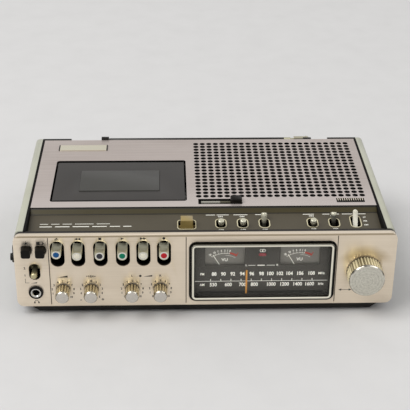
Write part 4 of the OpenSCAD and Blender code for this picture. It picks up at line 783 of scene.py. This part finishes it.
# heights from the panel's foot
dialPrint = {"figure": 5.6, "squeeze": 0.84, "bold": 0.036, "unit": 3.6, "unitSqueeze": 0.9, "bandX": -3.2,
             "unitX": 113.5, "lineZ": 20.8, "lineHalf": 0.25, "lineFrom": -10.2, "lineTo": 119.5, "ticks": 11,
             "tickFrom": 5.0, "step": 9.96, "tick": 2.6, "tickHalf": 0.3, "proud": 0.05,
             "rows": [("FM", "MHz", 28.9,
                       [(88, 8.4), (90, 17.4), (92, 26.6), (94, 35.9), (96, 45.2), (98, 54.7), (100, 63.1),
                        (102, 72.5), (104, 81.9), (106, 92.4), (108, 103.5)]),
                      ("AM", "kHz", 16.6,
                       [(530, 7.7), (600, 22.4), (700, 36.4), (800, 48.0), (1000, 64.4), (1200, 77.5), (1400, 90.4),
                        (1600, 102.2)])]}
scaleFace = tipOf("dial_plate") - dialPrint["proud"]
scaleInk = Sheet()


def onScale(x, z):
    return onFace(x, baseZ + z, scaleFace)


for band, unit, rowZ, figures in dialPrint["rows"]:
    for number, x in figures:
        scaleInk.words(str(number), dialPrint["figure"], onScale(x, rowZ), 0.0, dialPrint["squeeze"],
                       dialPrint["bold"])
    for word, x in ((band, dialPrint["bandX"]), (unit, dialPrint["unitX"])):
        scaleInk.words(word, dialPrint["unit"], onScale(x, rowZ), 0.0, dialPrint["unitSqueeze"], dialPrint["bold"])
scaleInk.outline(box((dialPrint["lineFrom"], -dialPrint["lineHalf"]), (dialPrint["lineTo"], dialPrint["lineHalf"])),
                 onScale(0, dialPrint["lineZ"]))
for n in range(dialPrint["ticks"]):
    scaleInk.outline(box((-dialPrint["tickHalf"], 0.0), (dialPrint["tickHalf"], dialPrint["tick"])),
                     onScale(dialPrint["tickFrom"] + n * dialPrint["step"], dialPrint["lineZ"]))

meterRow = {"lines": [(41.6, 48.6, 0.25), (50.4, 57.6, 0.5), (59.4, 67.6, 0.25)], "lineZ": 38.65, "letter": 3.0,
            "letters": [("L", 39.6), ("R", 69.8)], "letterZ": 38.7, "bold": 0.03,
            "rings": (53.8, 56.2), "ringZ": 55.2, "ringOut": 1.7, "ringIn": 1.2}
for x0, x1, half in meterRow["lines"]:  # lines between the meters
    scaleInk.outline(box((x0, -half), (x1, half)), onScale(0, meterRow["lineZ"]))
for letter, x in meterRow["letters"]:
    scaleInk.words(letter, meterRow["letter"], onScale(x, meterRow["letterZ"]), bold=meterRow["bold"])
for x in meterRow["rings"]:  # two rings, the usual sign for stereo
    scaleInk.ring(circleOutline(meterRow["ringOut"], 24), circleOutline(meterRow["ringIn"], 24),
                  onScale(x, meterRow["ringZ"]))
scaleInk.build("scale_print", paintedGlowInk, "case", "needle")

lampLook = {"x": 55.0, "z": 50.9, "width": 7.6, "height": 3.4, "corner": 1.6, "thick": 0.6, "chamfer": 0.3,
            "base": tone(158, 34, 46), "patch": tone(128, 22, 32), "fineness": 500.0, "rough": (0.15, 0.3),
            "coat": 0.6, "glow": 0.12, "bump": 0.0}
lamp = Sheet()
lamp.plate(roundedOutline(lampLook["width"], lampLook["height"], lampLook["corner"]), lampLook["thick"],
           lampLook["chamfer"], onScale(lampLook["x"], lampLook["z"]))
lamp.build("stereo_lamp", grainFinish("redLens", lampLook), "case", "pointer")

meterPrint = {"behind": 1.25, "arc": 20.8, "line": 0.4, "from": -36, "red": 13, "to": 33, "redWide": 2.0,
              "second": 18.8, "secondLine": 0.3, "secondFrom": 2, "figure": 2.9, "figureRadius": 24.0, "squeeze": 0.8,
              "bold": 0.05, "tickOut": 1.4, "word": 4.6, "wordRise": 13.7, "wordBold": 0.03,
              "figures": [(-36, "20"), (-25, "10"), (-16, "7"), (-8, "5"), (0, "3"), (6, "1"), (12, "0"), (31, "3")]}
meterInk, redInk = Sheet(), Sheet()
for name in ("left_needle", "right_needle"):
    pivot = fromFace(jointOf(name)["pos_m"])
    back, arc, out = pivot.y + meterPrint["behind"], meterPrint["arc"], meterPrint["figureRadius"]
    onMeter = onFace(pivot.x, pivot.z, back)
    meterInk.outline(arcOutline(arc, meterPrint["line"], meterPrint["from"], meterPrint["red"]), onMeter)
    redInk.outline(arcOutline(arc, meterPrint["redWide"], meterPrint["red"], meterPrint["to"]), onMeter)
    meterInk.outline(arcOutline(meterPrint["second"], meterPrint["secondLine"], meterPrint["secondFrom"],
                                meterPrint["to"]), onMeter)
    for angle, figure in meterPrint["figures"]:
        turn = math.radians(angle)
        u, v = math.sin(turn), math.cos(turn)
        sheet = redInk if angle > meterPrint["red"] else meterInk
        sheet.words(figure, meterPrint["figure"], onFace(pivot.x + out * u, pivot.z + out * v, back), -turn,
                    meterPrint["squeeze"], meterPrint["bold"])
        sheet.outline(spokeOutline(u, v, arc, arc + meterPrint["tickOut"]), onMeter)
    meterInk.words("VU", meterPrint["word"], onFace(pivot.x, pivot.z + meterPrint["wordRise"], back),
                   bold=meterPrint["wordBold"])
meterInk.build("meter_print", paintedGlowInk, "case", "needle")
# the red print's glow is painted light
redLook = {"base": tone(206, 72, 54), "patch": tone(188, 58, 44), "rough": (0.4, 0.5), "bump": 0.0, "glow": 0.15}
redInk.build("meter_red", grainFinish("redInk", redLook), "case", "pointer")
print("dial dressed")

# control strip

stripLook = {"base": tone(70, 64, 51), "patch": tone(79, 73, 60), "fineness": 1500.0, "rough": (0.3, 0.45),
             "gloss": 0.3, "bump": 0.12, "band": tone(52, 45, 18), "bandStreak": tone(64, 56, 27),
             "bandStretch": (10, 3000, 3000), "shade": tone(30, 27, 19), "frontLine": 22.7, "footFrom": 50.5,
             "bandFrom": 51.5, "bandTo": 55.3, "soft": 0.3,
             "frontY": 11.15, "frontDrop": 9.2, "backY": 51.0, "backDrop": 5.5, "proud": 0.05}


def stripFinish(look):  # dark strip with an olive slope along its back
    finish, tree, shader = startFinish("stripPaint")
    dark = skinOf(tree, grain, look, Patch=look["patch"], Fineness=look["fineness"])
    olive = useGroup(tree, hairline, Base=look["band"], Streak=look["bandStreak"], Stretch=look["bandStretch"])
    colour = look["shade"]  # shadow lines at its front, at the slope's foot and along the top plate
    for start, paint in (("frontLine", dark["Colour"]), ("footFrom", look["shade"]), ("bandFrom", olive["Colour"]),
                         ("bandTo", look["shade"])):
        mask = zoneMask(tree, toBack, (faceY + look[start]) * mm, look["soft"] * mm)
        colour = blendColour(tree, mask, colour, paint)
    feed(tree, shader, {"Base Color": colour, "Roughness": dark["Roughness"], "Specular IOR Level": look["gloss"]})
    addBump(tree, shader, dark["Height"], look["bump"], 0.1 * mm)
    return finish


dress(stripFinish(stripLook), "control_strip")
oliveLook = {"base": tone(150, 130, 78), "patch": tone(128, 109, 60), "rough": (0.22, 0.36), "coat": 0.4}
dress(grainFinish("oliveGloss", oliveLook), "pause_key", edge=0.6)
stripSlope = (stripLook["frontDrop"] - stripLook["backDrop"]) / (stripLook["backY"] - stripLook["frontY"])


def onStrip(x, back):
    def lift(u, v, h):
        rise = stripSlope * (back + v - stripLook["frontY"]) - stripLook["frontDrop"]
        return place(x + u, back + v, topZ + rise + stripLook["proud"] + h)
    return lift


slotLook = {"line": 0.9, "base": tone(204, 196, 164), "patch": tone(186, 176, 142), "rough": (0.4, 0.5), "bump": 0.0,
            "switch": (34.5, 9.4, 14.6, 4.0), "band": (36.2, 9.4, 19.0, 4.0),  # place, width, depth and corner
            "pause": (32.95, 16.8, 14.5, 2.5)}
slots = [(name, slotLook["switch"]) for name in sleeveFinish]
slots += [("band_switch", slotLook["band"]), ("pause_key", slotLook["pause"])]
slotRings = Sheet()
for name, (back, width, depth, corner) in slots:
    line = slotLook["line"]
    slotRings.ring(roundedOutline(width + 2 * line, depth + 2 * line, corner + line),
                   roundedOutline(width, depth, corner), onStrip(middle(name).x, back))

sleeveLook = {"profile": [(1.5, 3.0), (2.05, 4.5), (2.28, 13.0), (2.95, 16.5), (3.0, 19.0), (2.7, 19.7), (2.0, 20.0),
                          (0.3, 20.05)]}


def onLever(name):  # height runs along the switch's lever from its axle
    joint = jointOf(name)
    lean = -math.radians(sum(joint["range_deg"]) / 2)  # at rest it leans half its travel to the front
    along, across = Vector((0, -math.sin(lean), math.cos(lean))), Vector((0, math.cos(lean), math.sin(lean)))
    return lambda u, v, h: Vector(joint["pos_m"]) + mm * (u * Vector(toRight) + v * across + h * along)


for name, finish in sleeveFinish.items():
    smooth(buildPiece(name + "_sleeve", *lathe(sleeveLook["profile"], onLever(name), 24), finish, name, "steel"))
slotRings.build("slot_outlines", grainFinish("slotPaint", slotLook), "case", "ivory")

stripPrint = {"size": 3.0, "bold": 0.03, "words": [("ON", 46.0), ("OFF", 23.4)], "bandSize": 2.8, "bandSide": 9.6,
              "bands": [("ST", 43.0), ("FM", 36.5), ("AM", 30.0)], "nameBack": 49.0, "nameWide": 0.9, "nameGap": 1.6,
              "names": {"tape_switch": (-2.9, (9, 12)), "record_mode_switch": (-1.3, (14,)),
                        "noise_switch": (-2.1, (12,)), "sleep_switch": (-2.6, (11,)), "afc_switch": (-1.7, (7, 8)),
                        "band_switch": (0, (10, 12))},
              "rows": [(1.1, 30.9, (12, 14, 16, 14, 10, 8)), (0.7, 35.3, (8, 8, 9, 18, 13))], "rowLeft": -160.7,
              "rowGap": 3.0}
stripInk = Sheet()


def dashes(left, back, width, lengths, gap):
    for length in lengths:
        stripInk.outline(box((left, -width / 2), (left + length, width / 2)), onStrip(0, back))
        left += length + gap


for name in sleeveFinish:
    for text, back in stripPrint["words"]:
        stripInk.words(text, stripPrint["size"], onStrip(middle(name).x, back), bold=stripPrint["bold"])
for text, back in stripPrint["bands"]:
    stripInk.words(text, stripPrint["bandSize"], onStrip(middle("band_switch").x + stripPrint["bandSide"], back),
                   bold=stripPrint["bold"])
for name, (shift, lengths) in stripPrint["names"].items():  # a plain dash or two behind each switch
    whole = sum(lengths) + stripPrint["nameGap"] * (len(lengths) - 1)
    dashes(middle(name).x + shift - whole / 2, stripPrint["nameBack"], stripPrint["nameWide"], lengths,
           stripPrint["nameGap"])
for width, back, lengths in stripPrint["rows"]:  # two rows of plain dashes on the left
    dashes(stripPrint["rowLeft"], back, width, lengths, stripPrint["rowGap"])
stripInk.build("strip_print", paleInk, "case", "needle")
print("strip dressed")

# top

topLook = {"base": tone(201, 190, 184), "streak": tone(163, 152, 145), "stretch": (10, 4200, 10), "rough": (0.34, 0.48),
           "metallic": 0.6, "bump": 0.25, "cut": tone(14, 13, 12), "cutFrom": 0.06, "front": tone(222, 214, 210),
           "frontFrom": 100.0, "frontSoft": 40.0, "frontShare": 0.35}
# painted shade: the walls of the plate's holes are painted near black
holeZone = [(downward, (topLook["cutFrom"] - topZ) * mm)]
plateFade = [(toFront, -(faceY + topLook["frontFrom"]) * mm, topLook["frontSoft"] * mm, topLook["front"],
              topLook["frontShare"])]  # painted light: a little lighter towards its front
dress(brushedFinish("lilacBrushed", topLook, holeZone, (), plateFade), "top_plate")
sideLook = {"base": tone(176, 176, 160), "patch": tone(160, 160, 144), "rough": (0.32, 0.46), "coat": 0.15,
            "fineness": 1200.0}
dress(grainFinish("sidePaint", sideLook), "left_side_panel", "right_side_panel", edge=0.5)
lidLook = {"base": tone(56, 54, 52), "patch": tone(63, 60, 58), "rough": (0.42, 0.54), "bump": 0.06, "gloss": 0.3}
dress(grainFinish("smokedLid", lidLook), "cassette_lid", edge=0.6)
windowLook = {"base": tone(64, 63, 60), "patch": tone(70, 69, 66), "rough": (0.36, 0.46), "bump": 0.03, "gloss": 0.3}
dress(grainFinish("smokedWindow", windowLook), "lid_window", edge=0.4)

badgeLook = {"x": -128.0, "back": 191.3, "width": 51.0, "depth": 12.6, "thick": 0.9, "corner": 0.8, "chamfer": 0.35,
             "base": tone(232, 226, 206), "streak": tone(214, 207, 186), "stretch": (10, 3600, 10),
             "rough": (0.25, 0.36), "endWide": 1.2, "endThick": 1.0, "endCorner": 0.3, "endChamfer": 0.2,
             "endOut": 0.3}
badge, badgeEnds = Sheet(), Sheet()
badge.plate(roundedOutline(badgeLook["width"], badgeLook["depth"], badgeLook["corner"]), badgeLook["thick"],
            badgeLook["chamfer"], onTop(badgeLook["x"], badgeLook["back"], topZ))
badge.build("blank_plate", brushedFinish("plateMetal", badgeLook), "case", "champagne_panel")
for side in (-1, 1):
    badgeEnds.plate(roundedOutline(badgeLook["endWide"], badgeLook["depth"], badgeLook["endCorner"]),
                    badgeLook["endThick"], badgeLook["endChamfer"],
                    onTop(badgeLook["x"] + side * (badgeLook["width"] / 2 + badgeLook["endOut"]),
                          badgeLook["back"], topZ))
badgeEnds.build("plate_ends", blackPlastic, "case", "black_plastic")

trayLook = {"width": 43.9, "depth": 9.6, "deep": 2.2, "floor": 1.6, "play": 0.3, "over": 0.1, "scaleFrom": 3.0,
            "scaleTo": 22.0, "trackTo": 42.5, "base": tone(160, 157, 147), "streak": tone(142, 138, 128),
            "stretch": (10, 3000, 10), "track": tone(92, 88, 74), "bump": 0.15}


def trayFinish(look):  # black case whose slider tray has a pale scale and a grey track
    finish, tree, shader = startFinish("caseBlack")
    skin = skinOf(tree, grain, deepLook, Patch=deepLook["patch"])
    scale = useGroup(tree, hairline, Base=look["base"], Streak=look["streak"], Stretch=look["stretch"])
    right = fromFace(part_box("monitor_slider")[1]).x + look["play"]  # at rest the slider is at the tray's right end
    left, back, reach = right - look["width"], middle("monitor_slider").y, look["depth"] / 2
    colour = skin["Colour"]
    for start, end, paint in (("scaleFrom", "scaleTo", scale["Colour"]), ("scaleTo", "trackTo", look["track"])):
        low = place(left + look[start], back - reach, topZ - look["deep"] - look["floor"])
        high = place(left + look[end], back + reach, topZ - look["deep"] + look["over"])
        colour = blendColour(tree, cutMask(tree, between(low, high, (toRight, toBack, upward))), colour, paint)
    feed(tree, shader, {"Base Color": colour, "Roughness": skin["Roughness"],
                        "Specular IOR Level": deepLook["gloss"]})
    addBump(tree, shader, skin["Height"], look["bump"], 0.1 * mm)
    return finish


dress(trayFinish(trayLook), "top_case")

combLook = {"pitch": 2.25, "bars": 12, "right": 160.55, "front": 63.4, "back": 71.6, "teeth": 67.0, "width": 0.7,
            "shadeWidth": 1.1, "shadeOver": 0.4, "shadeRise": 0.03, "rise": 0.04, "thick": 0.15, "chamfer": 0.05,
            "base": tone(206, 196, 178), "patch": tone(190, 179, 160), "rough": (0.4, 0.5)}
comb, combSlotShade = Sheet(), Sheet()
shadeHalf, toothHalf, over = combLook["shadeWidth"] / 2, combLook["width"] / 2, combLook["shadeOver"]
for k in range(combLook["bars"]):  # dark sheets over the microphone, painted shade of its slots, with a pale tooth at the back of each
    x = combLook["right"] - combLook["pitch"] * (k + 0.5)
    combSlotShade.outline(box((-shadeHalf, -over), (shadeHalf, combLook["back"] - combLook["front"] + over)),
                    onTop(x, combLook["front"], topZ + combLook["shadeRise"]))
    comb.plate(box((-toothHalf, 0), (toothHalf, combLook["back"] - combLook["teeth"])), combLook["thick"],
               combLook["chamfer"], onTop(x, combLook["teeth"], topZ + combLook["rise"]))
comb.build("comb_bars", grainFinish("combPaint", combLook), "case", "ivory")
combSlotShade.build("comb_slot_shade", blackPlastic, "case", "black_plastic")
print("top dressed")

# deck, inside and back

steelLook = {"base": tone(178, 178, 174), "streak": tone(150, 150, 146), "stretch": (40, 1500, 40),
             "rough": (0.25, 0.4), "metallic": 1.0}
dress(brushedFinish("plainSteel", steelLook), "deck_plate", "head_plate", "motor", "key_shaft", "potentiometers")
brassLook = {"base": tone(206, 186, 130), "patch": tone(184, 162, 106), "rough": (0.2, 0.34), "metallic": 1.0,
             "bump": 0.05}
dress(grainFinish("turnedBrass", brassLook), "capstan")
rubberLook = {"base": tone(34, 33, 32), "patch": tone(46, 45, 43), "rough": (0.65, 0.8), "bump": 0.2}
dress(grainFinish("matRubber", rubberLook), "feet", "pinch_roller", "drive_belt")
nylonLook = {"base": tone(224, 221, 210), "patch": tone(208, 204, 190), "rough": (0.4, 0.55)}
dress(grainFinish("whiteNylon", nylonLook), "supply_spindle", "takeup_spindle", "dial_drum")
boardLook = {"base": tone(150, 116, 62), "patch": tone(128, 96, 48), "rough": (0.45, 0.6)}
dress(grainFinish("boardBrown", boardLook), "main_board")

paleLook = {"base": tone(212, 206, 182), "patch": tone(186, 178, 150), "rough": (0.16, 0.3), "metallic": 1.0,
            "bump": 0.04}
dress(grainFinish("paleMetal", paleLook), "aerial_base", edge=0.2)
tubeLook = {"base": tone(46, 44, 41), "patch": tone(36, 34, 32), "rough": (0.24, 0.38), "metallic": 0.6, "bump": 0.03,
            "cut": tone(186, 182, 154), "sleeve": 16.5, "tip": 8.2, "shine": 5.5}
sleeveZone = [(toRight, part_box("aerial_tube")[1].x - tubeLook["sleeve"] * mm)]  # its thick end is pale
dress(grainFinish("darkChrome", tubeLook, sleeveZone), "aerial_tube", edge=0.2)
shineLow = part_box("aerial_rod")[0] + Vector(toRight) * tubeLook["tip"] * mm
shineZone = between(shineLow, shineLow + Vector(toRight) * tubeLook["shine"] * mm, [toRight])
dress(grainFinish("darkRod", tubeLook, shineZone), "aerial_rod", edge=0.2)  # a bright piece beside its tip

screwLook = {"head": 2.6, "rise": 0.7, "chamfer": 0.4, "slot": 0.5, "reach": 1.56, "slotRise": 0.02,
             "slotChamfer": 0.005, "rearZ": (20.0, 76.0), "rearX": (-166.0, 52.0, 166.0),
             "underX": (-140.0, 140.0), "underBack": (50.0, 176.0)}
rearFace = fromFace(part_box("battery_cover")[1]).y
underFace = fromFace(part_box("bottom_case")[0]).z
screwSpots = [onBack(x, z, rearFace) for x in screwLook["rearX"] for z in screwLook["rearZ"]]
screwSpots += [onUnder(x, back, underFace) for x in screwLook["underX"] for back in screwLook["underBack"]]
screwHeads, screwSlots = Sheet(), Sheet()
for lift in screwSpots:
    reach, rise, half = screwLook["reach"], screwLook["rise"], screwLook["slot"] / 2
    screwHeads.plate(circleOutline(screwLook["head"], 24), rise, screwLook["chamfer"], lift)
    # the slots are black sheets on each head: painted shade of the slots
    for slot in (box((-reach, -half), (reach, half)), box((-half, -reach), (half, reach))):
        screwSlots.plate(slot, screwLook["slotRise"], screwLook["slotChamfer"],
                         lambda u, v, h, lift=lift: lift(u, v, rise + h))
screwSteel = {"base": tone(70, 69, 66), "patch": tone(54, 53, 50), "rough": (0.3, 0.45), "metallic": 1.0,
              "bump": 0.05}
screwHeads.build("case_screws", grainFinish("darkSteel", screwSteel), "case", "steel")
screwSlots.build("screw_slots", blackPlastic, "case", "black_plastic")
print("inside dressed")

# floor, light, camera

floorLook = {"base": tone(200, 199, 198), "patch": tone(196, 195, 194), "rough": (0.7, 0.8), "bump": 0.0,
             "fineness": 40.0, "half": 4.0}
floorData = bpy.data.meshes.new("floor")
half = floorLook["half"]
floorData.from_pydata([(u, v, 0) for u, v in box((-half, -half), (half, half))], [], [(0, 1, 2, 3)])
floor = bpy.data.objects.new("floor", floorData)
bpy.context.scene.collection.objects.link(floor)
floorData.materials.append(grainFinish("paperFloor", floorLook))

lightLook = {"world": (1.0, 1.0, 1.0, 1.0), "strength": 0.62, "size": 3.2, "aim": (0, 0, 0.05),
             "boxes": [("softboxLeft", 180.0, (-2.6, -1.0, 4.2)), ("softboxRight", 44.0, (3.2, -0.6, 3.8))]}
world = bpy.data.worlds.new("studio")
world.use_nodes = True
feed(world.node_tree, world.node_tree.nodes["Background"],
     {"Color": lightLook["world"], "Strength": lightLook["strength"]})
bpy.context.scene.world = world
for name, power, at in lightLook["boxes"]:
    data = bpy.data.lights.new(name, "AREA")
    data.energy, data.size = power, lightLook["size"]
    holder = bpy.data.objects.new(name, data)
    holder.location = at
    holder.rotation_euler = (Vector(lightLook["aim"]) - Vector(at)).to_track_quat("-Z", "Y").to_euler()
    bpy.context.scene.collection.objects.link(holder)

cameraLook = {"x": -35.7, "back": -909.3, "z": 605.4, "yaw": 2.15, "pitch": 28.52, "roll": -0.59, "lens": 97.53,
              "sensor": 36.0, "near": 0.05, "far": 20.0}


def aimCamera(look):
    yaw, pitch, roll = (math.radians(look[k]) for k in ("yaw", "pitch", "roll"))
    ahead = Vector((math.sin(yaw) * math.cos(pitch), math.cos(yaw) * math.cos(pitch), -math.sin(pitch)))
    levelRight = Vector((math.cos(yaw), -math.sin(yaw), 0))
    levelDown = ahead.cross(levelRight)
    right = math.cos(roll) * levelRight + math.sin(roll) * levelDown
    down = -math.sin(roll) * levelRight + math.cos(roll) * levelDown
    turn = Matrix((right, -down, -ahead)).transposed().to_4x4()
    data = bpy.data.cameras.new("camera")
    data.lens, data.sensor_width = look["lens"], look["sensor"]
    data.clip_start, data.clip_end = look["near"], look["far"]
    holder = bpy.data.objects.new("camera", data)
    holder.matrix_world = Matrix.Translation(place(look["x"], look["back"], baseZ + look["z"])) @ turn
    bpy.context.scene.collection.objects.link(holder)
    bpy.context.scene.camera = holder


aimCamera(cameraLook)
bpy.context.scene.view_settings.view_transform = "Standard"
print("stage set")

bpy.context.view_layer.update()
